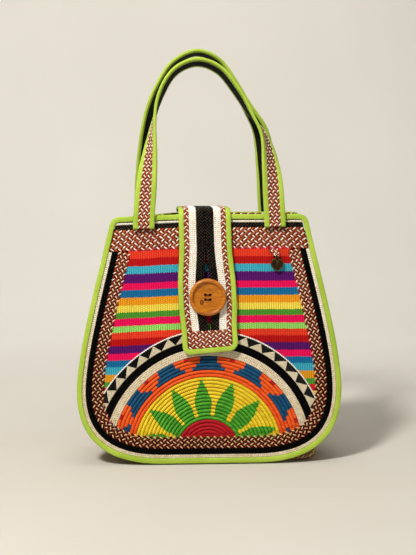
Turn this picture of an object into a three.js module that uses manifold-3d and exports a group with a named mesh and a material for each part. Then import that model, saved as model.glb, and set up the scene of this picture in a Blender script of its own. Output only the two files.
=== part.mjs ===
// Handbag of plaited cane braids and striped cloth: two bound panels, a gusset, a lining,
// two strap handles, a button-through flap and a small hanging charm.
// Millimetres, +Z up, front towards -Y, origin on the floor under the middle of the base.
import * as THREE from "three";
import { mergeVertices } from "three/addons/utils/BufferGeometryUtils.js";
import Module from "manifold-3d";

const wasm = await Module();
wasm.setup();

// Driving dimensions
const SEAM = 0.3; // clearance between pieces sewn edge to edge
const PANEL_HEIGHT = 267;
const PANEL_TOP_HALF = 106; // half width along the top edge
const PANEL_WIDEST_HALF = 142.5;
const PANEL_WIDEST_HEIGHT = 79;
const PANEL_FLAT_HALF = 50; // half length of the straight run at the bottom
const PANEL_CORNER = 9; // how far the top corners are rounded back
const PANEL_LIFT = 1.2; // the bound edge hangs this far off the floor
const DEPTH_BASE = 84; // between the panels' inner faces, at the floor
const DEPTH_TOP = 56; // and at the top edge

const BINDING_WIDTH = 6;
const BINDING_OUTER = 3.4; // how far the bound edge stands out of the panel's inner face
const CREAM_BORDER = 3.2;
const BLACK_BORDER = 6.5;
const PLAIT_BORDER = 13;
const BRAID_THICKNESS = 2.6;
const CLOTH_THICKNESS = 1.6;

const TOP_CREAM = 2.7;
const TOP_BLACK = 5.4;
const TOP_PLAIT = 11.4; // each of the two plaited braids along the top

const SUN_CENTRE = new THREE.Vector2(-2, 13);
const COIL_PITCH = 5.1;
const COIL_TURNS = 20;
const SUN_CREAM = 8.6;
const SUN_BLACK = 8.3;
const SUN_ZIGZAG = 10.5;
const SUN_THICKNESS = 2.7;

const GUSSET_THICKNESS = 1.8;
const GUSSET_DROP = 15; // its top ends, below the panel's top edge
const GUSSET_FLAT_LEFT = 55;
const GUSSET_FLAT_RIGHT = 104; // the lower right corner has sagged square
const GUSSET_SAG_CORNER = 13;
const GUSSET_SAG_HEIGHT = 79; // the sagged side is back on the panel's line here
const LINING_THICKNESS = 0.8;
const LINING_DROP = 11;

const FLAP_LENGTH_DOWN = 148; // from the top edge to the tip
const FLAP_RISE = 6; // how high it arches over the mouth
const FLAP_BEND = 10; // how far each bend of the arch reaches
const FLAP_GAP = 0.6; // between the half-sun's face and the flap's back
const FLAP_BEND_GAP = 1.8; // and between the bound edge and the flap's bend over it
const FLAP_THICKNESS = 2.4;
const FLAP_TOP_SHIFT = -6; // the flap leans a little across the panel
const FLAP_TIP_SHIFT = 0.6;
const FLAP_BLACK = 9.4;
const FLAP_CREAM = 8;
const FLAP_PLAIT = 5.2;
const FLAP_BINDING = 5.4;
const FLAP_END = 18; // plaited braid across the tip
const FLAP_CORNER = 9;
const SLIT_HALF = 3; // the buttonhole slit, where the button's thread holds it apart
const SLIT_END_HALF = 1.4;
const SLIT_START = 32; // it starts to part this far below the top edge
const SLIT_REACH = 8; // and is at its widest this far above and below the button's centre

const BUTTON_DIAMETER = 40;
const BUTTON_DROP = 89; // centre below the panel's top edge
const BUTTON_THICKNESS = 6;
const BUTTON_RIM = 4.6;
const BUTTON_DISH = 1.8;
const BUTTON_HOLE_SPACING = 5;
const BUTTON_HOLE_RADIUS = 1.4;
const BUTTON_GAP = 0.7; // between the flap's face and the button
const THREAD_RADIUS = 0.75;
const SHANK_RADIUS = 2.3;
const SHANK_COLLAR_RADIUS = 4.8;

const STRAP_WIDTH = 23;
const STRAP_BIND_LEG = 5.5;
const STRAP_TAPE = 0.6;
const STRAP_BRAID = 1.4;
const STRAP_BACKING = 0.5;
const STRAP_SEAM = 0.55; // clearance between the layers of a strap, wider because it twists
const FRONT_HANDLE_TOP = 434;
const BACK_HANDLE_TOP = 447;
const HANDLE_SPREAD = 71; // half the distance between the roots
// Each arch from the left root to the right one, as shares of that spread and of the rise
const ARCH_RIGHT = [
  [0.15, 0.955], [0.43, 0.82], [0.63, 0.69], [0.845, 0.55], [0.95, 0.33], [0.975, 0.2], [0.993, 0.08], [1, 0],
];
const FRONT_HANDLE_LINE = [
  [-1, 0], [-0.995, 0.08], [-0.91, 0.43], [-0.76, 0.775], [-0.51, 0.945], [-0.17, 1], ...ARCH_RIGHT,
];
const BACK_HANDLE_LINE = [
  [-1, 0], [-0.995, 0.08], [-0.96, 0.43], [-0.93, 0.575], [-0.885, 0.68], [-0.78, 0.795], [-0.52, 0.94], [-0.17, 1],
  ...ARCH_RIGHT,
];
const FRONT_STRAP_TURN = 104; // degrees, from flat on the panel to over the hand
const BACK_STRAP_TURN = 76; // less, so that both undersides lie parallel at the top
const STRAP_TURN_END = 0.38; // share of the strap's length where it has turned fully
const STRAP_TURN_LEFT = 0.015; // and where it starts to turn on either leg
const STRAP_TURN_RIGHT = 0.03;
const HANDLE_LEAN_IN = 4.5; // the arch moves this far towards the bag's middle

const CHARM_X = 73;
const CHARM_TAB_LENGTH = 8;
const CHARM_TAB_WIDTH = 11;
const CHARM_TIP_WIDTH = 5.4;
const CHARM_TAB_SKEW = 4; // its sewn end sits this far left of the tip
const CHARM_TAB_THICKNESS = 1.6;
const CHARM_TAB_SLOPE = 0.55; // the tab stands away from the cloth towards its tip
const CHARM_RING_RADIUS = 2.7;
const CHARM_WIRE_RADIUS = 0.5;
const CHARM_EYE_RADIUS = 1.3;
const CHARM_EYE_EDGE = 1.1; // material round each eye
const HEART_WIDTH = 14;
const HEART_HEIGHT = 13;
const HEART_THICKNESS = 1.6;

// Values that follow from the driving dimensions
const LEAN = Math.atan((DEPTH_BASE - DEPTH_TOP) / 2 / PANEL_HEIGHT);
const CREAM_INSET = BINDING_WIDTH + SEAM;
const BLACK_INSET = CREAM_INSET + CREAM_BORDER;
const PLAIT_INSET = BLACK_INSET + BLACK_BORDER;
const WINDOW_INSET = PLAIT_INSET + PLAIT_BORDER;
const TOP_CREAM_Z = PANEL_HEIGHT - BINDING_WIDTH - SEAM;
const TOP_BLACK_Z = TOP_CREAM_Z - TOP_CREAM;
const TOP_PLAIT_Z = TOP_BLACK_Z - TOP_BLACK;
const WINDOW_TOP = TOP_PLAIT_Z - 2 * TOP_PLAIT;
const GUSSET_TOP = PANEL_HEIGHT - GUSSET_DROP;
const LINING_TOP = PANEL_HEIGHT - LINING_DROP;
const SUN_INNER = CLOTH_THICKNESS + SEAM;
const COIL_RADIUS = COIL_PITCH * COIL_TURNS;
// From the panel's inner face to the flap's back
const FLAP_STAND_OFF = Math.max(SUN_INNER + SUN_THICKNESS + FLAP_GAP, BINDING_OUTER + FLAP_BEND_GAP);

// Colours from the object: dyed cane, cotton tape, boxwood and antique brass
const finish = (color, roughness, metalness = 0) =>
  new THREE.MeshStandardMaterial({ color, roughness, metalness });
const limeTape = finish("#b4cf4a", 0.8);
const redPlait = finish("#8a2f1c", 0.6);
const creamCane = finish("#e6d6b6", 0.65);
const blackCane = finish("#14110f", 0.5);
const stripedCloth = finish("#c8452c", 0.85);
const coiledFibre = finish("#d8b326", 0.75);
const zigzagCane = finish("#3a332b", 0.6);
const tanCane = finish("#a58a5c", 0.7);
const blackCloth = finish("#1a1a1a", 0.9);
const buttonWood = finish("#c9752a", 0.4);
const brownThread = finish("#7a3a1e", 0.8);
const antiqueBrass = finish("#6b5535", 0.45, 0.9);

// Solids in and out of manifold-3d
function solidOf(geometry) {
  const bare = geometry.clone();
  bare.deleteAttribute("normal");
  bare.deleteAttribute("uv");
  const merged = mergeVertices(bare, 1e-4);
  return new wasm.Manifold(
    new wasm.Mesh({
      numProp: 3,
      vertProperties: merged.attributes.position.array,
      triVerts: new Uint32Array(merged.index.array),
    }),
  );
}

function geometryOf(solid) {
  const mesh = solid.getMesh();
  const geometry = new THREE.BufferGeometry();
  geometry.setAttribute("position", new THREE.BufferAttribute(mesh.vertProperties, 3));
  geometry.setIndex(new THREE.BufferAttribute(mesh.triVerts, 1));
  geometry.computeVertexNormals();
  return geometry;
}

// Moves every vertex of a geometry to where place(vertex) says
function remap(geometry, place) {
  const position = geometry.getAttribute("position");
  const vertex = new THREE.Vector3();
  for (let i = 0; i < position.count; i++) {
    vertex.fromBufferAttribute(position, i);
    position.setXYZ(i, ...place(vertex).toArray());
  }
  return geometry;
}

function piece(group, name, geometry, material) {
  const mesh = new THREE.Mesh(geometry, material);
  mesh.name = name;
  group.add(mesh);
  return mesh;
}

// A flat outline in X and Z, thickened from `inner` to `outer` mm in front of the panel's inner face
function plate(outline, inner, outer) {
  const shape = outline instanceof THREE.Shape ? outline : new THREE.Shape(outline);
  const geometry = new THREE.ExtrudeGeometry(shape, {
    depth: outer - inner,
    bevelEnabled: false,
    curveSegments: 20,
  });
  return geometry.rotateX(Math.PI / 2).translate(0, -inner, 0);
}

const mirrored = (points) => points.map((p) => new THREE.Vector2(-p.x, p.y));

// A polyline moved sideways, towards its left hand
function inset(points, distance) {
  return points.map((p, i) => {
    const before = points[Math.max(i - 1, 0)];
    const after = points[Math.min(i + 1, points.length - 1)];
    const along = after.clone().sub(before).normalize();
    return new THREE.Vector2(p.x - along.y * distance, p.y + along.x * distance);
  });
}

// The part of a rising polyline that lies below a height
function below(points, height) {
  const kept = points.filter((p) => p.y < height);
  const next = points[kept.length];
  if (!next) return kept;
  const last = kept[kept.length - 1];
  return [...kept, last.clone().lerp(next, (height - last.y) / (next.y - last.y))];
}

// Right half of the panel: from the middle of the bottom, round the corner and up the side
function panelPath() {
  const cornerX = PANEL_WIDEST_HALF - PANEL_FLAT_HALF;
  const rise = PANEL_HEIGHT - PANEL_WIDEST_HEIGHT;
  const path = new THREE.Path().moveTo(0, 0).lineTo(PANEL_FLAT_HALF, 0);
  path.bezierCurveTo(
    PANEL_FLAT_HALF + 0.65 * cornerX,
    0,
    PANEL_WIDEST_HALF,
    0.32 * PANEL_WIDEST_HEIGHT,
    PANEL_WIDEST_HALF,
    PANEL_WIDEST_HEIGHT,
  );
  path.bezierCurveTo(
    PANEL_WIDEST_HALF,
    PANEL_WIDEST_HEIGHT + 0.25 * rise,
    PANEL_TOP_HALF + 0.36 * (PANEL_WIDEST_HALF - PANEL_TOP_HALF),
    PANEL_HEIGHT - 0.33 * rise,
    PANEL_TOP_HALF,
    PANEL_HEIGHT,
  );
  return path;
}
const panelSide = panelPath().getPoints(9);

// The same half with its top corner rounded, on to the middle of the top edge
function roundedEdge() {
  const side = below(panelSide, PANEL_HEIGHT - PANEL_CORNER);
  const start = side.at(-1);
  const path = new THREE.Path().moveTo(start.x, start.y);
  path.quadraticCurveTo(PANEL_TOP_HALF, PANEL_HEIGHT, PANEL_TOP_HALF - PANEL_CORNER, PANEL_HEIGHT);
  path.lineTo(0, PANEL_HEIGHT);
  return [...side, ...path.getPoints(5).slice(1)];
}
const panelEdge = roundedEdge();

// Closed outline of the panel at an inset from its bound edge
function panelOutline(distance) {
  const right = inset(panelEdge, distance).slice(1, -1);
  return [...right, ...mirrored(right).reverse()];
}

// U-shaped band between two insets, cut off under the plaited braids of the top
function borderOutline(from, to, height) {
  const outer = below(inset(panelSide, from), height).slice(1);
  const inner = below(inset(panelSide, to), height).slice(1);
  return [
    ...mirrored(outer).reverse(),
    ...outer,
    ...inner.toReversed(),
    ...mirrored(inner),
  ];
}

function windowOutline(clearance) {
  const edge = below(inset(panelSide, WINDOW_INSET + clearance), WINDOW_TOP - clearance).slice(1);
  return [...mirrored(edge).reverse(), ...edge];
}

function halfWidthAt(height, distance) {
  return below(inset(panelSide, distance), height).at(-1).x;
}

// Straight braid across the panel between two heights, ending at the bound edge
function crossBraid(low, high) {
  const wide = halfWidthAt(low, CREAM_INSET);
  const narrow = halfWidthAt(high, CREAM_INSET);
  const corners = [[-wide, low], [wide, low], [narrow, high], [-narrow, high]];
  return corners.map(([x, z]) => new THREE.Vector2(x, z));
}

// The bound panel: binding, borders, top braids and the striped cloth in the window
function addPanel(group, side) {
  const binding = new THREE.Shape(panelOutline(0));
  binding.holes.push(new THREE.Path(panelOutline(BINDING_WIDTH)));
  piece(group, `${side}_edge_binding`, plate(binding, 0, BINDING_OUTER), limeTape);

  const borderTop = WINDOW_TOP - SEAM;
  const borders = [
    ["cream_border", CREAM_INSET, CREAM_BORDER, creamCane],
    ["black_border", BLACK_INSET, BLACK_BORDER, blackCane],
    ["plaited_border", PLAIT_INSET, PLAIT_BORDER, redPlait],
  ];
  for (const [name, from, width, material] of borders) {
    const outline = borderOutline(from, from + width - SEAM, borderTop);
    piece(group, `${side}_${name}`, plate(outline, 0, BRAID_THICKNESS), material);
  }

  const braids = [
    ["top_cream_braid", TOP_CREAM_Z, TOP_CREAM, creamCane],
    ["top_black_braid", TOP_BLACK_Z, TOP_BLACK, blackCane],
    ["top_plait_upper", TOP_PLAIT_Z, TOP_PLAIT, redPlait],
    ["top_plait_lower", TOP_PLAIT_Z - TOP_PLAIT, TOP_PLAIT, redPlait],
  ];
  const within = solidOf(plate(panelOutline(CREAM_INSET), -1, BRAID_THICKNESS + 1));
  for (const [name, high, width, material] of braids) {
    const braid = solidOf(plate(crossBraid(high - width + SEAM, high), 0, BRAID_THICKNESS));
    piece(group, `${side}_${name}`, geometryOf(braid.intersect(within)), material);
  }
  piece(group, `${side}_striped_cloth`, plate(windowOutline(SEAM), 0, CLOTH_THICKNESS), stripedCloth);
}

// Half-sun of coiled fibre with three braids bent round it, all cut to the window
function addSun(group) {
  const outer = SUN_INNER + SUN_THICKNESS;
  const window = solidOf(plate(windowOutline(2 * SEAM), SUN_INNER - 1, outer + 1));
  const rings = [
    ["sun_coil", 0, COIL_RADIUS, coiledFibre],
    ["sun_cream_braid", COIL_RADIUS, SUN_CREAM, creamCane],
    ["sun_black_braid", COIL_RADIUS + SUN_CREAM, SUN_BLACK, blackCane],
    ["sun_zigzag_braid", COIL_RADIUS + SUN_CREAM + SUN_BLACK, SUN_ZIGZAG, zigzagCane],
  ];
  for (const [name, from, width, material] of rings) {
    const ring = new THREE.Shape();
    ring.absarc(SUN_CENTRE.x, SUN_CENTRE.y, from + width - SEAM, 0, 2 * Math.PI);
    if (from > 0) {
      ring.holes.push(new THREE.Path().absarc(SUN_CENTRE.x, SUN_CENTRE.y, from, 0, 2 * Math.PI));
    }
    const cut = solidOf(plate(ring, SUN_INNER, outer)).intersect(window);
    piece(group, name, geometryOf(cut), material);
  }
}

// Half of the gusset's line, from the middle of the floor up to the top edge
function gussetHalf(sagged) {
  const side = inset(panelSide, CREAM_INSET + SEAM);
  const upper = side.filter((p) => p.y > GUSSET_SAG_HEIGHT);
  const join = upper[0];
  const path = new THREE.Path().moveTo(0, 0);
  if (sagged) {
    const corner = GUSSET_FLAT_RIGHT + GUSSET_SAG_CORNER;
    path.lineTo(GUSSET_FLAT_RIGHT, 0).quadraticCurveTo(corner, 0, corner, GUSSET_SAG_CORNER);
    path.bezierCurveTo(corner, 0.45 * join.y, join.x, 0.55 * join.y, join.x, join.y);
  } else {
    path.lineTo(GUSSET_FLAT_LEFT, 0);
    const reach = join.x - GUSSET_FLAT_LEFT;
    path.bezierCurveTo(GUSSET_FLAT_LEFT + 0.64 * reach, 0, join.x, 0.32 * join.y, join.x, join.y);
  }
  return [...path.getPoints(7), ...upper.slice(1)];
}

const gussetRight = gussetHalf(true);
const gussetLeft = gussetHalf(false);

// Left half, floor and right half of a line inside the gusset, from top left to top right
function gussetLine(distance, height) {
  const right = below(inset(gussetRight, distance), height).slice(1);
  const left = below(inset(gussetLeft, distance), height).slice(1);
  return [...mirrored(left).reverse(), ...right];
}

// Half the distance between the panels' inner faces at a height over the floor
const halfDepth = (z) => DEPTH_BASE / 2 - (z - PANEL_LIFT) * Math.tan(LEAN);

// An outline in X and Z stretched between the two leaning panels
function betweenPanels(outline, clearance) {
  return remap(plate(outline, -1, 1), (v) => {
    v.y *= halfDepth(v.z) - clearance;
    return v;
  });
}

function addBody(group) {
  const outer = gussetLine(0, GUSSET_TOP);
  const inner = gussetLine(GUSSET_THICKNESS, GUSSET_TOP);
  piece(group, "gusset", betweenPanels([...outer, ...inner.reverse()], SEAM), tanCane);

  const skin = GUSSET_THICKNESS + SEAM;
  const raisedTop = LINING_TOP + 1;
  const bag = solidOf(betweenPanels(gussetLine(skin, LINING_TOP), 1.2 * SEAM));
  const room = solidOf(
    betweenPanels(gussetLine(skin + LINING_THICKNESS, raisedTop), 1.2 * SEAM + LINING_THICKNESS),
  );
  piece(group, "lining", geometryOf(bag.subtract(room)), blackCloth);
}

// Side view of the flap: out of the back edge, over the mouth and down in front of the panel
const flapPath = (() => {
  const top = PANEL_LIFT + PANEL_HEIGHT * Math.cos(LEAN);
  const rootY = halfDepth(top) + BRAID_THICKNESS - FLAP_THICKNESS / 2;
  const rootZ = top + BINDING_OUTER * Math.sin(LEAN) + SEAM;
  const middle = FLAP_STAND_OFF + FLAP_THICKNESS / 2;
  const frontPoint = (down) =>
    new THREE.Vector3(
      0,
      -halfDepth(top) - middle * Math.cos(LEAN) - down * Math.sin(LEAN),
      top + middle * Math.sin(LEAN) - down * Math.cos(LEAN),
    );
  const crest = top + FLAP_RISE;
  const bend = frontPoint(FLAP_BEND - FLAP_RISE / 2);
  const overFront = frontPoint(-FLAP_RISE);
  const rear = new THREE.Vector3(0, rootY - FLAP_BEND, crest);
  const fore = new THREE.Vector3(0, overFront.y + FLAP_BEND, crest);
  const path = new THREE.CurvePath();
  const root = new THREE.Vector3(0, rootY, rootZ);
  path.add(new THREE.QuadraticBezierCurve3(root, new THREE.Vector3(0, rootY, crest), rear));
  path.add(new THREE.LineCurve3(rear, fore));
  path.add(new THREE.QuadraticBezierCurve3(fore, new THREE.Vector3(0, overFront.y, crest), bend));
  path.add(new THREE.LineCurve3(bend, frontPoint(FLAP_LENGTH_DOWN)));
  return { path, length: path.getLength() };
})();
const FLAP_TOP_S = flapPath.length - FLAP_LENGTH_DOWN; // where the flap passes the top edge

// Where a point of the flat flap lies: x across, s along from the root, and its distance outwards
function onFlap(x, s, outwards) {
  const t = THREE.MathUtils.clamp(s / flapPath.length, 0, 1);
  const along = flapPath.path.getTangentAt(t);
  const outward = along.cross(new THREE.Vector3(1, 0, 0));
  return flapPath.path.getPointAt(t).addScaledVector(outward, outwards).setX(x);
}

function flapCentre(s) {
  return THREE.MathUtils.lerp(FLAP_TOP_SHIFT, FLAP_TIP_SHIFT, (s / flapPath.length) ** 2);
}

// Half the slit's gap along the flap: shut at the top, widest at the button
function slitHalf(s) {
  const down = s - FLAP_TOP_S;
  if (down < BUTTON_DROP) {
    return SLIT_HALF * THREE.MathUtils.smoothstep(down, SLIT_START, BUTTON_DROP - SLIT_REACH);
  }
  const end = FLAP_LENGTH_DOWN - FLAP_BINDING - FLAP_END;
  const share = THREE.MathUtils.smoothstep(down, BUTTON_DROP + SLIT_REACH, end);
  return THREE.MathUtils.lerp(SLIT_HALF, SLIT_END_HALF, share);
}

// Places along the flap, closer together over the arch than down the front
function flapSteps(end) {
  const archEnd = FLAP_TOP_S + FLAP_BEND;
  const arch = Array.from({ length: 16 }, (_, i) => (archEnd * i) / 16);
  return [...arch, ...Array.from({ length: 13 }, (_, i) => archEnd + ((end - archEnd) * i) / 12)];
}

// One edge of a strip of the flap, at a distance from the slit on one side
const flapEdge = (steps, side, distance) =>
  steps.map((s) => new THREE.Vector2(flapCentre(s) + side * (distance + slitHalf(s)), s));

// A band of the flap between two edges with as many points each
function flapBand(first, second) {
  const half = FLAP_THICKNESS / 2;
  const steps = first.length - 1;
  const section = new THREE.Shape([
    new THREE.Vector2(0, -half),
    new THREE.Vector2(1, -half),
    new THREE.Vector2(1, half),
    new THREE.Vector2(0, half),
  ]);
  const band = new THREE.ExtrudeGeometry(section, { depth: 1, steps, bevelEnabled: false });
  return remap(band, (v) => {
    const index = Math.round(v.z * steps);
    const flat = first[index].clone().lerp(second[index], v.x);
    return onFlap(flat.x, flat.y, v.y);
  });
}

// One side of a line round the flap's tip, with its corner rounded
function roundedSide(side, distance, radius, end) {
  const turn = end - radius;
  const edge = flapEdge(flapSteps(turn), side, distance);
  const x = edge.at(-1).x;
  const corner = new THREE.Path().moveTo(x, turn);
  corner.quadraticCurveTo(x, end, x - side * radius, end);
  return [...edge.slice(0, -1), ...corner.getPoints(5)];
}

const aroundTip = (distance, radius, end) => [
  ...roundedSide(-1, distance, radius, end),
  ...roundedSide(1, distance, radius, end).reverse(),
];

function addFlap(group) {
  const endStart = flapPath.length - FLAP_BINDING - FLAP_END;
  const steps = flapSteps(endStart);
  const strips = [
    ["black_braid", FLAP_BLACK, blackCane],
    ["cream_braid", FLAP_CREAM, creamCane],
    ["plaited_braid", FLAP_PLAIT, redPlait],
  ];
  for (const [label, side] of [["left", -1], ["right", 1]]) {
    let from = SEAM / 2;
    for (const [name, width, material] of strips) {
      const edges = [from, from + width - SEAM].map((distance) => flapEdge(steps, side, distance));
      if (side < 0) edges.reverse();
      piece(group, `flap_${name}_${label}`, flapBand(...edges), material);
      from += width;
    }
  }

  const bindFrom = SEAM / 2 + FLAP_BLACK + FLAP_CREAM + FLAP_PLAIT;
  const innerCorner = FLAP_CORNER - FLAP_BINDING;
  const rim = aroundTip(bindFrom + FLAP_BINDING, FLAP_CORNER, flapPath.length);
  const inside = aroundTip(bindFrom, innerCorner, flapPath.length - FLAP_BINDING);
  piece(group, "flap_edge_binding", flapBand(rim, inside), limeTape);

  const endEdge = aroundTip(bindFrom - SEAM, innerCorner, endStart + FLAP_END - SEAM);
  const [cutLeft, cutRight] = [-1, 1].map(
    (side) => flapEdge([endStart + SEAM], side, bindFrom - SEAM)[0],
  );
  const endShape = [cutLeft, ...endEdge.filter((p) => p.y > cutLeft.y + SEAM), cutRight];
  const flatEnd = new THREE.ExtrudeGeometry(new THREE.Shape(endShape), {
    depth: FLAP_THICKNESS,
    bevelEnabled: false,
  });
  const endBraid = remap(flatEnd, (v) => onFlap(v.x, v.y, FLAP_THICKNESS / 2 - v.z));
  piece(group, "flap_end_braid", endBraid, redPlait);
}

// A disc on the panel's face, pointing out of it
function disc(profile, segments) {
  const points = profile.map(([r, h]) => new THREE.Vector2(r, h));
  return new THREE.LatheGeometry(points, segments).rotateX(Math.PI);
}

function post(radius, from, to, x, z) {
  const geometry = disc([[0, from], [radius, from], [radius, to], [0, to]], 12);
  return solidOf(geometry.translate(x, 0, z));
}

// Dished four-hole button and the thread that holds it to the cloth through the slit
function addButton(group) {
  const x = flapCentre(FLAP_TOP_S + BUTTON_DROP);
  const z = PANEL_HEIGHT - BUTTON_DROP;
  const radius = BUTTON_DIAMETER / 2;
  const back = FLAP_STAND_OFF + FLAP_THICKNESS + BUTTON_GAP;
  const face = back + BUTTON_THICKNESS;
  const rimInner = radius - BUTTON_RIM;
  const dish = face - BUTTON_DISH;
  const profile = [
    [0, back],
    [radius - 3.2, back],
    [radius - 0.9, back + 1.4],
    [radius, back + 3],
    [radius - 0.8, face - 0.9],
    [radius - 2.4, face],
    [rimInner + 0.9, face - 0.5],
    [rimInner, dish],
    [0, dish],
  ];
  const turned = disc(profile, 36).translate(x, 0, z);
  let button = solidOf(turned);
  const half = BUTTON_HOLE_SPACING / 2;
  let thread = post(SHANK_RADIUS, SUN_INNER, back - SEAM, x, z);
  thread = thread.add(post(SHANK_COLLAR_RADIUS, back - BUTTON_GAP + 0.1, back - SEAM, x, z));
  for (const row of [-half, half]) {
    for (const column of [-half, half]) {
      button = button.subtract(post(BUTTON_HOLE_RADIUS, back - 1, face + 1, x + column, z + row));
      thread = thread.add(post(THREAD_RADIUS, back - 2 * SEAM, dish + 1, x + column, z + row));
    }
    const bar = new THREE.BoxGeometry(BUTTON_HOLE_SPACING, 2 * THREAD_RADIUS, 2 * THREAD_RADIUS);
    thread = thread.add(solidOf(bar.translate(x, -(dish + SEAM + THREAD_RADIUS), z + row)));
  }
  piece(group, "button", geometryOf(button), buttonWood);
  piece(group, "button_thread", geometryOf(thread), brownThread);
}

// A handle's line: up from one root, round the arch and down to the other, in the panel's frame
function handlePath(line, top, flip) {
  const foot = TOP_PLAIT_Z + SEAM;
  const rise = top - PANEL_LIFT - foot;
  const stand = BINDING_OUTER + STRAP_TAPE + 1.5 * STRAP_SEAM + STRAP_BACKING;
  const points = line.map(([spread, share]) => {
    const leanIn = (HANDLE_LEAN_IN + stand) * THREE.MathUtils.smoothstep(share, 0.1, 1);
    return new THREE.Vector3(flip * spread * HANDLE_SPREAD, leanIn - stand - SEAM, foot + share * rise);
  });
  if (flip < 0) points.reverse();
  return new THREE.CatmullRomCurve3(points, false, "centripetal");
}

// How far the strap has turned from lying flat on the panel to lying over the hand
function strapTurn(t, { starts, full }) {
  const up = THREE.MathUtils.smoothstep(t, starts[0], STRAP_TURN_END);
  const down = THREE.MathUtils.smoothstep(1 - t, starts[1], STRAP_TURN_END);
  return THREE.MathUtils.degToRad(full) * Math.min(up, down);
}

// Sweeps a strap section (u across, v outwards) along a handle
function sweepStrap(section, path, twist) {
  const steps = 44;
  const shape = new THREE.Shape(section.map(([u, v]) => new THREE.Vector2(u, v)));
  const geometry = new THREE.ExtrudeGeometry(shape, { depth: 1, steps, bevelEnabled: false });
  return remap(geometry, (vertex) => {
    const t = THREE.MathUtils.clamp(vertex.z, 0, 1);
    const point = path.getPointAt(t);
    const along = path.getTangentAt(t);
    const front = new THREE.Vector3(0, -1, 0);
    front.addScaledVector(along, -front.dot(along)).normalize();
    const arch = new THREE.Vector3().crossVectors(front, along).normalize();
    const turn = strapTurn(t, twist);
    const outward = front.multiplyScalar(Math.cos(turn)).addScaledVector(arch, Math.sin(turn));
    const across = new THREE.Vector3().crossVectors(outward, along);
    return point.addScaledVector(across, vertex.x).addScaledVector(outward, vertex.y);
  });
}

function addHandle(group, side, top, flip) {
  const path = handlePath(flip > 0 ? FRONT_HANDLE_LINE : BACK_HANDLE_LINE, top, flip);
  const twist = { starts: [STRAP_TURN_LEFT, STRAP_TURN_RIGHT], full: FRONT_STRAP_TURN };
  if (flip < 0) {
    twist.starts.reverse();
    twist.full = BACK_STRAP_TURN;
  }
  const half = STRAP_WIDTH / 2;
  const core = half - STRAP_TAPE - STRAP_SEAM;
  const quarters = [-1, -0.5, 0, 0.5, 1];
  const box = (edge, low, high) => [
    ...quarters.map((share) => [share * edge, low]),
    ...quarters.map((share) => [-share * edge, high]),
  ];
  const braid = box(core, STRAP_SEAM / 2, STRAP_SEAM / 2 + STRAP_BRAID);
  piece(group, `${side}_handle_braid`, sweepStrap(braid, path, twist), redPlait);
  const backing = box(core, -STRAP_SEAM / 2 - STRAP_BACKING, -STRAP_SEAM / 2);
  piece(group, `${side}_handle_backing`, sweepStrap(backing, path, twist), blackCloth);

  const low = -STRAP_SEAM / 2 - STRAP_BACKING - STRAP_SEAM;
  const high = STRAP_SEAM / 2 + STRAP_BRAID + STRAP_SEAM;
  const leg = half - STRAP_BIND_LEG;
  const channel = [
    [leg, high], [half - STRAP_TAPE, high], [half - STRAP_TAPE, low], [leg, low],
    [leg, low - STRAP_TAPE], [half, low - STRAP_TAPE], [half, high + STRAP_TAPE],
    [leg, high + STRAP_TAPE],
  ];
  const channels = { left: channel, right: channel.map(([u, v]) => [-u, v]).reverse() };
  for (const [edge, section] of Object.entries(channels)) {
    piece(group, `${side}_handle_binding_${edge}`, sweepStrap(section, path, twist), limeTape);
  }
}

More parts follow.
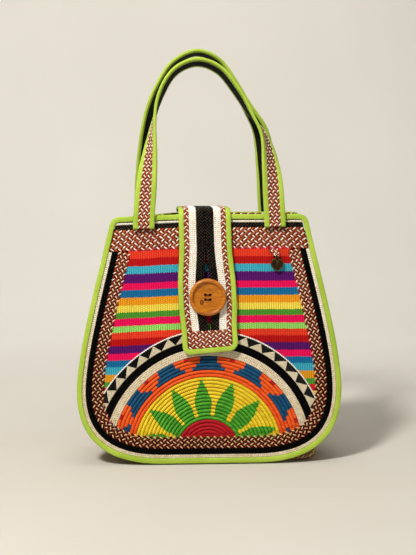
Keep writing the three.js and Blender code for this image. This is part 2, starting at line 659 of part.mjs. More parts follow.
// Plaited tab under the top braid, a jump ring through its tip and a plain brass heart
function addCharm(group) {
  const tabTop = WINDOW_TOP - SEAM;
  const eye = CHARM_EYE_RADIUS;
  const tabEye = new THREE.Vector2(CHARM_X, tabTop - CHARM_TAB_LENGTH + CHARM_EYE_EDGE + eye);
  const tab = new THREE.Shape();
  tab.moveTo(CHARM_X - CHARM_TAB_SKEW - CHARM_TAB_WIDTH / 2, tabTop);
  tab.lineTo(CHARM_X - CHARM_TIP_WIDTH / 2, tabEye.y);
  const tipControl = 2 * (tabTop - CHARM_TAB_LENGTH) - tabEye.y;
  tab.quadraticCurveTo(CHARM_X, tipControl, CHARM_X + CHARM_TIP_WIDTH / 2, tabEye.y);
  tab.lineTo(CHARM_X - CHARM_TAB_SKEW + CHARM_TAB_WIDTH / 2, tabTop);
  tab.holes.push(new THREE.Path().absarc(tabEye.x, tabEye.y, eye, 0, 2 * Math.PI));
  const tabInner = CLOTH_THICKNESS + SEAM;
  const slant = (z) => CHARM_TAB_SLOPE * (tabTop - z);
  const tabSolid = remap(plate(tab, tabInner, tabInner + CHARM_TAB_THICKNESS), (v) => {
    v.y -= slant(v.z);
    return v;
  });
  piece(group, "charm_tab", tabSolid, redPlait);

  const depth = tabInner + CHARM_TAB_THICKNESS / 2 + slant(tabEye.y);
  const ringZ = tabEye.y - CHARM_RING_RADIUS;
  const ring = new THREE.TorusGeometry(CHARM_RING_RADIUS, CHARM_WIRE_RADIUS, 8, 20);
  piece(group, "charm_ring", ring.rotateY(Math.PI / 2).translate(CHARM_X, -depth, ringZ), antiqueBrass);

  const heartEye = ringZ - CHARM_RING_RADIUS;
  const bail = eye + CHARM_EYE_EDGE;
  const lobe = HEART_WIDTH / 4;
  const notch = heartEye - bail + SEAM;
  const tip = notch - HEART_HEIGHT + lobe / 2;
  const heart = new THREE.Shape().moveTo(CHARM_X, tip);
  const near = CHARM_X + 2 * lobe;
  heart.quadraticCurveTo(near, tip + lobe, near, notch - lobe);
  heart.bezierCurveTo(near, notch + lobe, CHARM_X, notch + lobe, CHARM_X, notch);
  const far = CHARM_X - 2 * lobe;
  heart.bezierCurveTo(CHARM_X, notch + lobe, far, notch + lobe, far, notch - lobe);
  heart.quadraticCurveTo(far, tip + lobe, CHARM_X, tip);
  const heartInner = depth - HEART_THICKNESS / 2;
  const heartOuter = depth + HEART_THICKNESS / 2;
  const body = solidOf(plate(heart, heartInner, heartOuter));
  const withBail = body.add(post(bail, heartInner, heartOuter, CHARM_X, heartEye));
  const drilled = withBail.subtract(post(eye, heartInner - 1, heartOuter + 1, CHARM_X, heartEye));
  piece(group, "charm_heart", geometryOf(drilled), antiqueBrass);
}

const handbag = new THREE.Group();

const front = new THREE.Group();
front.position.set(0, -DEPTH_BASE / 2, PANEL_LIFT);
front.rotation.x = -LEAN;
addPanel(front, "front");
addSun(front);
addHandle(front, "front", FRONT_HANDLE_TOP, 1);
addButton(front);
addCharm(front);

const back = new THREE.Group();
back.position.set(0, -DEPTH_BASE / 2, PANEL_LIFT);
back.rotation.x = -LEAN;
addPanel(back, "back");
addHandle(back, "back", BACK_HANDLE_TOP, -1);
const turnedBack = new THREE.Group();
turnedBack.rotation.z = Math.PI;
turnedBack.add(back);

addBody(handbag);
addFlap(handbag);
handbag.add(front, turnedBack);

export default handbag;
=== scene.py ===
import bisect
import math
import random

import bmesh
import bpy
from mathutils import Matrix, Vector, noise
from mathutils.geometry import interpolate_bezier
from mathutils.kdtree import KDTree


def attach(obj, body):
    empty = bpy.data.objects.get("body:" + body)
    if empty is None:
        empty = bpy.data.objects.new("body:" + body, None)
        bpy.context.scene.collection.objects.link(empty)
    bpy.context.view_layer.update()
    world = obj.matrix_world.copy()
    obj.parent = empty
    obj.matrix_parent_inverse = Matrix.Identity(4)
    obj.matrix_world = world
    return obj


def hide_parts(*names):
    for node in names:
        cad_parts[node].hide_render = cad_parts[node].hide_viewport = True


# Striped handbag of plaited cane. Sizes are in millimetres, as in the frame's own drawing,
# and are turned into metres where a piece is laid in its place.
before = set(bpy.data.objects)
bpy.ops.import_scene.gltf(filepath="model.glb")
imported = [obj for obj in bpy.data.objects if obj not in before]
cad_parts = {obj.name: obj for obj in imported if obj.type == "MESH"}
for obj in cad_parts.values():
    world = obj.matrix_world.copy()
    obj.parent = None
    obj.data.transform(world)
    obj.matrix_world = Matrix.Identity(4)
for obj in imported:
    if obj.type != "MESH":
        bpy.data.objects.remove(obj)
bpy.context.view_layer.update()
scene = bpy.context.scene
scene.view_settings.view_transform = "Standard"
dice = random.Random(11)
mm = 0.001
print("frame loaded:", len(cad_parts), "nodes")


def mix(a, b, share):
    return a + (b - a) * share


def smoothStep(value, low, high):
    share = min(max((value - low) / (high - low), 0.0), 1.0)
    return share * share * (3 - 2 * share)


def through(table, value):  # straight lines between the pairs of a table
    if value <= table[0][0]:
        return table[0][1]
    for (a, p), (b, q) in zip(table, table[1:]):
        if value <= b:
            return mix(p, q, (value - a) / (b - a))
    return table[-1][1]


def linear(text):  # a hex colour as the linear one that a socket takes
    parts = [int(text[i:i + 2], 16) / 255 for i in (0, 2, 4)]
    return (*[p / 12.92 if p <= 0.04045 else ((p + 0.055) / 1.055) ** 2.4 for p in parts], 1.0)


def arc(a, b, c, steps):  # a curve from a to c that bends towards b
    return [a * (1 - u) ** 2 + b * (2 * u * (1 - u)) + c * u ** 2 for u in [i / steps for i in range(steps + 1)]]


# Lines that a braid or a tape follows: points, the length up to each and the way on from it
def track(points, closed=False):
    kept = [points[0]]
    for p in points[1:]:
        if (p - kept[-1]).length > 0.02:
            kept.append(p)
    if closed:
        kept.append(kept[0])
    marks = [0.0]
    for a, b in zip(kept, kept[1:]):
        marks.append(marks[-1] + (b - a).length)
    last = len(kept) - 1
    ways = [(kept[min(i + 1, last)] - kept[max(i - 1, 0)]).normalized() for i in range(last + 1)]
    if closed:
        ways[0] = ways[last] = (kept[1] - kept[last - 1]).normalized()
    return {"points": kept, "marks": marks, "ways": ways, "length": marks[-1]}


def onTrack(line, s):
    marks = line["marks"]
    i = min(max(bisect.bisect_right(marks, s) - 1, 0), len(marks) - 2)
    share = (s - marks[i]) / (marks[i + 1] - marks[i])
    point = line["points"][i].lerp(line["points"][i + 1], share)
    way = line["ways"][i].lerp(line["ways"][i + 1], min(max(share, 0), 1)).normalized()
    return point, way


# The panel: its outline, and how a point of the flat panel lies in the bag
panel = {
    "height": 267.0, "topHalf": 106.0, "widestHalf": 142.5, "widestHeight": 79.0, "flatHalf": 50.0,
    "corner": 9.0, "lift": 1.2, "depthBase": 84.0, "depthTop": 56.0,
    "bulge": 2.2, "bulgeHalf": 128.0,  # how far the cloth swells in the middle, and how wide
    "sag": 3.2, "backSag": 6.5,  # how far the shoulders on the left hang down
    "ripple": 0.5,
}
lean = math.atan((panel["depthBase"] - panel["depthTop"]) / 2 / panel["height"])
leanCos, leanSin = math.cos(lean), math.sin(lean)


def halfDepth(z):
    return panel["depthBase"] / 2 - (z - panel["lift"]) * math.tan(lean)


def swellAt(x, h):  # 0 at the panel's edge, 1 in its middle
    return max(0.0, 1 - (x / panel["bulgeHalf"]) ** 2) * math.sin(math.pi * min(max(h / panel["height"], 0), 1))


def panelPoint(side, x, h, out):
    ripple = noise.noise((x / 55, h / 55, 3.0 if side == "front" else 9.0))
    out += swellAt(x, h) * (panel["bulge"] + panel["ripple"] * ripple)
    left, sag = (-x, panel["sag"]) if side == "front" else (x, panel["backSag"])
    h -= sag * smoothStep(left, 15, 115) * smoothStep(h, 20, 130) * (1 - smoothStep(h, 275, 400))
    y = -panel["depthBase"] / 2 - out * leanCos + h * leanSin
    z = panel["lift"] + out * leanSin + h * leanCos
    return Vector((x, y, z) if side == "front" else (-x, -y, z)) * mm


def outlineSide():  # right half, from the middle of the bottom up to the top corner
    p = panel
    reach, rise = p["widestHalf"] - p["flatHalf"], p["height"] - p["widestHeight"]
    low = interpolate_bezier(
        (p["flatHalf"], 0), (p["flatHalf"] + 0.65 * reach, 0),
        (p["widestHalf"], 0.32 * p["widestHeight"]), (p["widestHalf"], p["widestHeight"]), 48)
    high = interpolate_bezier(
        (p["widestHalf"], p["widestHeight"]), (p["widestHalf"], p["widestHeight"] + 0.25 * rise),
        (mix(p["topHalf"], p["widestHalf"], 0.36), p["height"] - 0.33 * rise),
        (p["topHalf"], p["height"]), 64)
    flat = [Vector((p["flatHalf"] * i / 16, 0.0)) for i in range(16)]
    return flat + [v.to_2d() for v in low] + [v.to_2d() for v in high[1:]]


def insetLine(points, distance):
    last = len(points) - 1
    moved = []
    for i, p in enumerate(points):
        way = (points[min(i + 1, last)] - points[max(i - 1, 0)]).normalized()
        moved.append(Vector((p.x - way.y * distance, p.y + way.x * distance)))
    return moved


def cutAt(points, height):
    kept = [p for p in points if p.y < height]
    if len(kept) == len(points):
        return kept
    a, b = kept[-1], points[len(kept)]
    return kept + [a.lerp(b, (height - a.y) / (b.y - a.y))]


def mirroredLine(points):
    return [Vector((-p.x, p.y)) for p in reversed(points)]


sideLine = outlineSide()


def borderTrack(inset, height):  # down the left side, along the bottom and up the right
    right = cutAt(insetLine(sideLine, inset), height)
    return track(mirroredLine(right[1:]) + right)


def halfAt(inset, height):
    return cutAt(insetLine(sideLine, inset), height)[-1].x


def panelLay(side, line):  # s along the line, t towards its left hand, out of the panel
    def lay(s, t, out):
        point, way = onTrack(line, s)
        return panelPoint(side, point.x - way.y * t, point.y + way.x * t, out)
    return lay


bands = {
    "gap": 0.15, "bindingLow": -0.1, "bindingHigh": 3.4, "stitchIn": 2.0, "stitchFace": 3.0, "stitchBack": 0.2,
    "binding": 5.5, "cream": (5.8, 3.7), "black": (9.5, 6.5), "plait": (16.0, 13.0), "window": 29.0,
    "topCream": (260.7, 2.7), "topBlack": (258.0, 5.4), "topPlait": (252.6, 11.4), "windowTop": 229.8,
}
windowLine = borderTrack(bands["window"], bands["windowTop"])
windowTree = KDTree(len(windowLine["points"]))
for i, p in enumerate(windowLine["points"]):
    windowTree.insert((p.x, p.y, 0), i)
windowTree.balance()


def windowDepth(x, h):  # how far inside the border's inner edge a point lies
    i = windowTree.find((x, h, 0))[1]
    p, way = windowLine["points"][i], windowLine["ways"][i]
    return (x - p.x) * -way.y + (h - p.y) * way.x


# Node helpers: one call makes a node and sets or links its sockets
def node(tree, kind, settings=None, **sockets):
    made = tree.nodes.new("ShaderNode" + kind)
    for key, value in (settings or {}).items():
        setattr(made, key, value)
    for key, value in sockets.items():
        socket = made.inputs[int(key[1:])] if key[0] == "_" else made.inputs[key]
        if isinstance(value, bpy.types.NodeSocket):
            tree.links.new(value, socket)
        else:
            socket.default_value = value
    return made


def sums(tree, operation, a, b=0.0, c=0.0):
    return node(tree, "Math", {"operation": operation}, _0=a, _1=b, _2=c).outputs[0]


def plus(tree, a, b):
    return sums(tree, "ADD", a, b)


def times(tree, a, b):
    return sums(tree, "MULTIPLY", a, b)


def blendColour(tree, share, a, b, kind="MIX"):
    made = node(tree, "Mix", {"data_type": "RGBA", "blend_type": kind}, _0=share, _6=a, _7=b)
    return made.outputs[2]


def newFinish(name, **sockets):
    made = bpy.data.materials.new(name)
    made.use_nodes = True
    tree = made.node_tree
    shader = tree.nodes["Principled BSDF"]
    for key, value in sockets.items():
        shader.inputs[key].default_value = value
    return made, tree, shader, node(tree, "TexCoord")


def plainNoise(tree, place, scale, detail=3.0, rough=0.6):
    made = node(tree, "TexNoise", Vector=place, Scale=scale, Detail=detail, Roughness=rough)
    return made.outputs["Fac"]


def stretched(tree, place, x, y, z):
    return node(tree, "Mapping", Vector=place, Scale=(x, y, z)).outputs[0]


def ranged(tree, value, low, high, newLow, newHigh):
    made = node(tree, "MapRange", {"clamp": True}, _0=value, _1=low, _2=high, _3=newLow, _4=newHigh)
    return made.outputs[0]


def shaded(tree, tone, value):  # a colour made darker or lighter by one number
    grey = node(tree, "CombineColor", _0=value, _1=value, _2=value).outputs[0]
    return blendColour(tree, 1.0, tone, grey, "MULTIPLY")


def dress(tree, shader, tone, rough, strength, distance, height):
    tree.links.new(tone, shader.inputs["Base Color"])
    tree.links.new(rough, shader.inputs["Roughness"])
    bump = node(tree, "Bump", Strength=strength, Distance=distance, Height=height)
    tree.links.new(bump.outputs[0], shader.inputs["Normal"])


def caneFinish(name, dark, light, rough=0.5, grain=0.35, wearAndGlintTone=None, shine=0.35, upper=None):
    made, tree, shader, place = newFinish(name, **{"Specular IOR Level": shine})
    patches = plainNoise(tree, place.outputs["Object"], 260.0, 2.0)
    broad = plainNoise(tree, place.outputs["Object"], 22.0, 2.0)
    fibres = plainNoise(tree, stretched(tree, place.outputs["UV"], 0.35, 5.0, 1.0), 1.0, 4.0, 0.7)
    share = plus(tree, times(tree, patches, 0.65), times(tree, broad, 0.35))
    share = ranged(tree, share, 0.36, 0.64, 0.0, 1.0)
    tone = blendColour(tree, share, linear(dark), linear(light))
    if upper:  # painted light: lighter colours towards the top of the bag, where more light falls; the lower colours stand for the shade low on the bag
        height = node(tree, "SeparateXYZ", Vector=place.outputs["Object"]).outputs[2]
        paintedTopLight = blendColour(tree, share, linear(upper[0]), linear(upper[1]))
        tone = blendColour(tree, ranged(tree, height, 0.08, 0.235, 0.0, 1.0), tone, paintedTopLight)
    streaks = ranged(tree, fibres, 0.3, 0.7, 0.72, 1.08)
    tone = shaded(tree, tone, streaks)
    if wearAndGlintTone:  # paler patches: on madder and tan cane the wear where the skin has rubbed, on the glint cane painted highlights
        rubAndGlintMask = ranged(tree, plainNoise(tree, place.outputs["Object"], 90.0, 5.0, 0.7), 0.56, 0.68, 0.0, 0.55)
        tone = blendColour(tree, rubAndGlintMask, tone, linear(wearAndGlintTone))
    dress(tree, shader, tone,
          ranged(tree, patches, 0.3, 0.7, rough - 0.1, rough + 0.12), grain, 0.0004, fibres)
    return made


def wovenFinish(name, dark, light, pitch, rough=0.85, depth=0.5, sheen=0.15, lines=0.0):
    made, tree, shader, place = newFinish(name, **{"Sheen Weight": sheen, "Specular IOR Level": 0.2})
    split = node(tree, "SeparateXYZ", Vector=place.outputs["UV"])
    across = sums(tree, "SINE", times(tree, split.outputs[0], 2 * math.pi / pitch))
    along = sums(tree, "SINE", times(tree, split.outputs[1], 2 * math.pi / pitch))
    check = times(tree, across, along)
    weave = plus(tree, times(tree, check, 0.5 - lines / 2), times(tree, across, lines))
    fuzz = plainNoise(tree, place.outputs["UV"], 1.7, 4.0, 0.7)
    cloud = plainNoise(tree, place.outputs["Object"], 18.0, 4.0, 0.6)
    share = plus(tree, ranged(tree, weave, -0.6, 0.6, 0.1, 0.55),
                 plus(tree, ranged(tree, cloud, 0.3, 0.7, -0.15, 0.35), ranged(tree, fuzz, 0.3, 0.7, -0.12, 0.12)))
    height = plus(tree, weave, times(tree, fuzz, 0.7))
    dress(tree, shader, blendColour(tree, share, linear(dark), linear(light)),
          ranged(tree, fuzz, 0.3, 0.7, rough - 0.08, rough + 0.08), depth, 0.0003, height)
    return made


limeTape = wovenFinish("limeTape", "86a620", "c6da58", 0.9, 0.8, 0.5, 0.05, 0.3)
limeThread = wovenFinish("limeThread", "98b42e", "d8e884", 0.5, 0.75, 0.4, 0.05)
ivoryCane = caneFinish("ivoryCane", "f2d8ba", "fffaf0", 0.45, 0.3)
madderCane = caneFinish("madderCane", "8a2a0c", "b4562a", 0.5, 0.4, "c47a50", shine=0.2)
# madderGround: a darker copy of the red cane, painted shade in the gaps between the strands
madderGround = caneFinish("madderGround", "521406", "7c3014", 0.8, 0.4, shine=0.1)
# tawnyCane, deepMadder and deepGround: painted light, darker colours low on the bag and lighter upper colours towards
# its top
tawnyCane = caneFinish("tawnyCane", "cda066", "ecca92", 0.5, 0.3, upper=("f0d2aa", "fff2dc"))
deepMadder = caneFinish("deepMadder", "460402", "6a0b05", 0.5, 0.4, shine=0.15, upper=("7e200c", "a4421e"))
# deepGround: a darker copy of the red cane, painted shade in the gaps between the strands
deepGround = caneFinish("deepGround", "220201", "3c0604", 0.8, 0.4, shine=0.05, upper=("3c0c04", "5c1c0c"))
blackCane = caneFinish("blackCane", "010101", "060504", 0.5, 0.4, shine=0.07)
# glint cane: pale brown strands painted as highlights of light on the black braid, the palest patches as the brightest
# glints
glintCane = caneFinish("glintCane", "1a140f", "5a4b3a", 0.45, 0.4, "86745c", shine=0.2)
blackGround = caneFinish("blackGround", "010101", "020201", 0.8, 0.3, shine=0.03)
creamCane = caneFinish("creamCane", "fbf0dc", "fffdf8", 0.5, 0.3)
# naturalCane: painted light, lighter upper colours towards the top of the bag
naturalCane = caneFinish("naturalCane", "dcc69c", "f2e4c8", 0.55, 0.35, upper=("f2e6ce", "fffaf0"))
# creamGround: a darker copy of the cream cane, painted shade in the gaps between the strands
creamGround = caneFinish("creamGround", "d4c29c", "eadcbe", 0.7, 0.3)
tanCane = caneFinish("tanCane", "967448", "cca872", 0.55, 0.45, "e0c898")
# tanGround: a darker copy of the tan cane, painted shade in the gaps between the strands
tanGround = caneFinish("tanGround", "4c3820", "70562f", 0.75, 0.4)
blackCloth = wovenFinish("blackCloth", "040404", "121111", 0.8, 0.9, 0.5, 0.0)
print("cane and tape finishes made")


def meshOf(name, bm):
    mesh = bpy.data.meshes.new(name)
    bm.to_mesh(mesh)
    bm.free()
    return mesh


def placed(name, data):
    made = bpy.data.objects.new(name, data)
    scene.collection.objects.link(made)
    return made


# A finished piece: its mesh, finishes, body and the nodes that it stands for; slot is not used
def finishPiece(name, bm, finishes, body, slot, nodes=(), sharp=None):
    mesh = meshOf(name, bm)
    for finish in finishes:
        mesh.materials.append(finish)
    if sharp:
        mesh.set_sharp_from_angle(angle=math.radians(sharp))
    made = placed(name, mesh)
    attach(made, body)
    if nodes:
        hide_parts(*nodes)
    return made


def smoothAll(bm):
    for face in bm.faces:
        face.smooth = True


def drawFlat(bm, rule=lambda place: place.xy):  # the flat place of every corner gives its texture place
    uv = bm.loops.layers.uv.verify()
    for face in bm.faces:
        for loop in face.loops:
            loop[uv].uv = rule(loop.vert.co)


def unitGrid(steps, across, wide, high):  # from 0 to 1 both ways, drawn on a cloth of this size
    bm = bmesh.new()
    bmesh.ops.create_grid(bm, x_segments=steps, y_segments=across, size=0.5)
    bmesh.ops.translate(bm, vec=(0.5, 0.5, 0), verts=bm.verts)
    drawFlat(bm, lambda place: (place.x * wide, place.y * high))
    smoothAll(bm)
    return bm


def flatBand(length, low, high, bottom, top, steps, across):  # a closed band, still flat
    bm = bmesh.new()
    bmesh.ops.create_grid(bm, x_segments=steps, y_segments=across, size=0.5)
    bmesh.ops.scale(bm, vec=(length, high - low, 1), verts=bm.verts)
    bmesh.ops.solidify(bm, geom=bm.faces[:], thickness=top - bottom)
    base = min(v.co.z for v in bm.verts)
    bmesh.ops.translate(bm, vec=(length / 2, (low + high) / 2, bottom - base), verts=bm.verts)
    drawFlat(bm)
    return bm


def bend(bm, lay, closed=True):
    for v in bm.verts:
        v.co = lay(*v.co)
    if closed:
        bmesh.ops.recalc_face_normals(bm, faces=bm.faces)
    return bm


# One strand of cane as it shows between two crossings, and the same shape as a stitch
def strandShape():
    bm = bmesh.new()
    bmesh.ops.create_cube(bm, size=1.0)
    long = [e for e in bm.edges if abs(e.verts[0].co.x - e.verts[1].co.x) > 0.5]
    bmesh.ops.subdivide_edges(bm, edges=long, cuts=2, use_grid_fill=True)
    for v in bm.verts:
        end = abs(v.co.x) > 0.4
        top = v.co.z > 0
        v.co.x *= 1.0 if not top else (0.8 if end else 1.05)
        v.co.y *= (0.66 if top else 1.0) * (0.8 if end else 1.0)
        v.co.z = (0.42 if end else 1.0) if top else 0.0
    drawFlat(bm, lambda place: (place.x * 5, place.y * 2 + place.z))
    smoothAll(bm)
    return meshOf("strand", bm)


strand = strandShape()
strandRest = [0.0] * (3 * len(strand.vertices))
strand.vertices.foreach_get("co", strandRest)


def setStrand(bm, matrix, finish):
    strand.vertices.foreach_set("co", strandRest)
    strand.polygons.foreach_set("material_index", [finish] * len(strand.polygons))
    strand.transform(matrix)
    bm.from_mesh(strand)


def strandFrame(lay, s, t, out, turn, size, flip=False):
    step = 0.4
    along = (lay(s + step, t, out) - lay(s - step, t, out)).normalized()
    across = (lay(s, t + step, out) - lay(s, t - step, out)).normalized()
    up = along.cross(across).normalized()
    across = up.cross(along)
    way = along * math.cos(turn) + across * math.sin(turn)
    if flip:
        up = -up
    side = up.cross(way)
    scale = [x * mm for x in size]
    rows = zip(way * scale[0], side * scale[1], up * scale[2], lay(s, t, out))
    return Matrix([*[list(row) for row in rows], [0, 0, 0, 1]])


def plaitRows(low, high, count):
    step = (high - low) / count
    return [low + (i + 0.5) * step for i in range(count)]


# Rows of strands that lean one way and then the other, as a flat plait shows them
varied = {
    "length": (0.94, 1.06), "width": (0.93, 1.07), "height": (0.88, 1.1), "turn": (-0.06, 0.06), "paleWidth": 0.56,
}


def layPlait(bm, lay, span, rows, weave, out, finishes, flip=False, keep=None):
    for r, t in enumerate(rows):
        first, last = span
        count = max(1, round((last - first) / weave["step"]))
        step = (last - first) / count
        lean = math.radians(weave["angle"]) * (1 if r % 2 else -1)
        for k in range(count):
            s = first + (k + 0.5) * step
            if keep and not keep(s, t):
                continue
            thin = len(finishes) == 2 and (k + r) % 2 == 0  # the pale strand is the thinner one
            size = (weave["length"] * dice.uniform(*varied["length"]),
                    weave["width"] * (varied["paleWidth"] if thin else 1.0) * dice.uniform(*varied["width"]),
                    weave["height"] * dice.uniform(*varied["height"]))
            matrix = strandFrame(lay, s, t, out, lean + dice.uniform(*varied["turn"]), size, flip)
            setStrand(bm, matrix, finishes[(k + r) % len(finishes)] if len(finishes) < 3 else dice.choice(finishes))


# A braid as a piece: a flat ground from run to run, with rows of strands on one face or both
def braidPiece(name, lay, run, edge, depth, cuts, rows, weave, feet, colours, finishes, slot, cad=(), body="bag",
               ends=0.6):
    first, last = run
    bm = flatBand(last - first, *edge, *depth, *cuts)
    bmesh.ops.translate(bm, vec=(first, 0, 0), verts=bm.verts)
    bend(bm, lay)
    for foot, flip in feet:
        layPlait(bm, lay, (first + ends, last - ends), plaitRows(*edge, rows), weave, foot, colours, flip)
    return finishPiece(name, bm, finishes, body, slot, cad)


def layStitches(bm, lay, length, t, out, finish, pitch=3.6, size=(2.4, 0.7, 0.45), flip=False):
    for k in range(int(length / pitch)):
        turn = dice.uniform(-0.08, 0.08)
        setStrand(bm, strandFrame(lay, (k + 0.5) * pitch, t, out, turn, size, flip), finish)


# A folded tape: a soft flat tube along a line
def rolledTape(lay, length, halfWidth, low, high, closed=False, pitch=2.6, seed=0.0):
    bm = unitGrid(int(length / pitch), 16, length, 4 * halfWidth)
    bmesh.ops.scale(bm, vec=(length, 1, 1), verts=bm.verts)
    middle, thick = (low + high) / 2, (high - low) / 2
    for v in bm.verts:
        s, turn = v.co.x, 2 * math.pi * v.co.y
        c, n = math.cos(turn), math.sin(turn)
        round_ = 2 * math.pi * s / length
        pucker = noise.noise((20 * math.cos(round_) * length / 900, 20 * math.sin(round_) * length / 900, seed + n))
        t = math.copysign(abs(c) ** 0.5, c) * halfWidth * (1 + 0.05 * pucker)
        out = middle + math.copysign(abs(n) ** 0.62, n) * thick * (1 + 0.1 * pucker)
        v.co = lay(s, t, out)
    bmesh.ops.remove_doubles(bm, verts=bm.verts, dist=1e-6)
    if not closed:
        bmesh.ops.holes_fill(bm, edges=[e for e in bm.edges if e.is_boundary])
    bmesh.ops.recalc_face_normals(bm, faces=bm.faces)
    return bm


def tapePiece(name, lay, length, halfWidth, depth, stitches, body, cad, closed=False, seed=0.0):
    bm = rolledTape(lay, length, halfWidth, *depth, closed, seed=seed)
    for t, out, flip in stitches:
        layStitches(bm, lay, length, t, out, 1, flip=flip)
    finishPiece(name, bm, [limeTape, limeThread], body, "lime_tape", [cad])


# Both panels: bound edge, U-shaped borders, braids along the top
redWeave = {"step": 3.6, "angle": 41, "length": 4.5, "width": 2.7, "height": 1.35}
topWeave = {"step": 4.1, "angle": 38, "length": 4.9, "width": 2.9, "height": 1.35}
fineWeave = {"step": 1.75, "angle": 45, "length": 2.7, "width": 1.35, "height": 0.95}
creamWeave = {"step": 2.1, "angle": 42, "length": 3.0, "width": 1.5, "height": 0.95}
panelBraids = {
    "groundTop": 1.5, "strandFoot": 1.2, "plaitRows": 5, "blackRows": 3, "creamRows": 2,
    "topPlaitRows": 4, "topBlackRows": 3, "topCreamRows": 1, "topInset": 6.3, "cornerPinch": 0.05,
    # the plait shows inside the mouth too
    "insideLow": 254.5, "insideHigh": 266.0, "insideRows": 4, "insideInset": 8.5, "insideAt": 262.0,
    "insideGround": (-0.4, 0.3), "insideFoot": 0.1,
}


def borderBraid(side, name, inset, width, rows, weave, finishes, colours, slot, cad):
    line = borderTrack(inset + width / 2 - bands["gap"], bands["windowTop"] - 2 * bands["gap"])
    lay = panelLay(side, line)
    half = width / 2 - bands["gap"]
    braidPiece(side + name, lay, (0.0, line["length"]), (-half, half), (0.0, panelBraids["groundTop"]), (240, 3),
               rows, weave, [(panelBraids["strandFoot"], False)], colours, finishes, slot, [f"{side}_{cad}"], ends=0.8)


def topBraid(side, name, high, width, rows, weave, finishes, colours, slot, cad):
    low = high - width + 2 * bands["gap"]
    middle = (low + high) / 2
    def reach(h):
        corner = panel["height"] - panel["corner"]
        pinch = panelBraids["cornerPinch"] * max(0.0, h - corner) ** 2
        return halfAt(panelBraids["topInset"], h) - pinch
    def lay(s, t, out):
        return panelPoint(side, s * reach(middle + t) / reach(middle), middle + t, out)
    half = (high - low) / 2
    wide = reach(middle)
    braidPiece(side + name, lay, (-wide, wide), (-half, half), (0.0, panelBraids["groundTop"]), (80, 3),
               rows, weave, [(panelBraids["strandFoot"], False)], colours, finishes, slot, [f"{side}_{cad}"])


def boundEdge(side):
    right = cutAt(sideLine, panel["height"] - panel["corner"])
    start = right[-1]
    corner = Vector((panel["topHalf"], panel["height"]))
    end = Vector((panel["topHalf"] - panel["corner"], panel["height"]))
    right += arc(start, corner, end, 8)[1:]
    right += [Vector((end.x * (1 - i / 12), panel["height"])) for i in range(1, 13)]
    middle = insetLine(right, bands["binding"] / 2)
    line = track(middle[:-1] + mirroredLine(middle[1:]), closed=True)
    b = bands
    tapePiece(side + "BoundEdge", panelLay(side, line), line["length"], b["binding"] / 2 + 0.1,
              (b["bindingLow"], b["bindingHigh"]),
              ((b["stitchIn"], b["stitchFace"], False), (b["stitchIn"], b["stitchBack"], True)),
              "bag", side + "_edge_binding", closed=True, seed=2.0)


def insideBraid(side):  # reverse of the plait, above the lining
    b = panelBraids
    low, high = b["insideLow"], b["insideHigh"]
    middle, half = (low + high) / 2, (high - low) / 2
    wide = halfAt(b["insideInset"], b["insideAt"])
    def lay(s, t, out):
        return panelPoint(side, -s, middle + t, -out)
    braidPiece(side + "MouthPlait", lay, (-wide, wide), (-half, half), b["insideGround"], (80, 3), b["insideRows"],
               topWeave, [(b["insideFoot"], False)], redColours, redFinishes, "red_plait")


redFinishes, redColours = [madderGround, ivoryCane, madderCane], [1, 2]
blackFinishes, creamFinishes = [blackGround, blackCane, glintCane], [creamGround, creamCane]
blackColours, glintColours = [1], [2, 1]
deepFinishes = [deepGround, tawnyCane, deepMadder]
naturalFinishes = [creamGround, naturalCane]
for side in ("front", "back"):
    boundEdge(side)
    insideBraid(side)
    b = panelBraids
    for name, key, rows, weave, finishes, colours, slot, cad in (
            ("CreamBorder", "cream", b["creamRows"], creamWeave, naturalFinishes, [1], "cream_cane", "cream_border"),
            ("BlackBorder", "black", b["blackRows"], fineWeave, blackFinishes, blackColours, "black_cane",
             "black_border"),
            ("PlaitBorder", "plait", b["plaitRows"], redWeave, deepFinishes, redColours, "red_plait",
             "plaited_border")):
        borderBraid(side, name, *bands[key], rows, weave, finishes, colours, slot, cad)
    high, width = bands["topPlait"]
    for name, top, wide, rows, weave, finishes, colours, slot, cad in (
            ("TopCream", *bands["topCream"], b["topCreamRows"], creamWeave, creamFinishes, [1], "cream_cane",
             "top_cream_braid"),
            ("TopBlack", *bands["topBlack"], b["topBlackRows"], fineWeave, blackFinishes, glintColours, "black_cane",
             "top_black_braid"),
            ("TopPlaitUpper", high, width, b["topPlaitRows"], topWeave, redFinishes, redColours, "red_plait",
             "top_plait_upper"),
            ("TopPlaitLower", high - width, width, b["topPlaitRows"], topWeave, redFinishes, redColours, "red_plait",
             "top_plait_lower")):
        topBraid(side, name, top, wide, rows, weave, finishes, colours, slot, cad)
print("bound edges, borders and top braids laid")


# Striped cloth in the window: ribbed, with the stripes' edges stepping from rib to rib
clothStripes = {
    "ribPitch": 2.4, "ribHeight": 0.6, "face": 1.1, "ragged": 0.5, "scallop": 1.9, "drift": 2.0,
    "topHeight": 233.0, "flatSize": (0.226, 0.203), "area": 0.0385,
    # colour and height of each stripe's lower edge
    "stripes": [
        ("e8044f", 229.6), ("ee3c20", 221.5), ("be0a0a", 213.3), ("3fb0c6", 205.3), ("5a0c6c", 195.3),
        ("f6045a", 187.5), ("0f6fa2", 179.8), ("f7a018", 172.0), ("fbe050", 164.3), ("4c9a2c", 157.7),
        ("f6045a", 150.0), ("98e068", 143.5), ("f03c20", 136.0), ("c00808", 128.4), ("560c66", 120.8),
        ("f6045a", 113.3), ("0f6fa2", 105.7), ("3fb0c6", 97.6), ("f0a01c", 90.0), ("4fa234", 83.0),
        ("dc1a2c", 76.0), ("fbe050", 68.4), ("3fb0c6", 60.6), ("5a0c6c", 52.8), ("f6045a", 45.0), ("0f6fa2", 37.2),
        ("f7a018", 29.4), ("4c9a2c", 0.0),
    ],
}


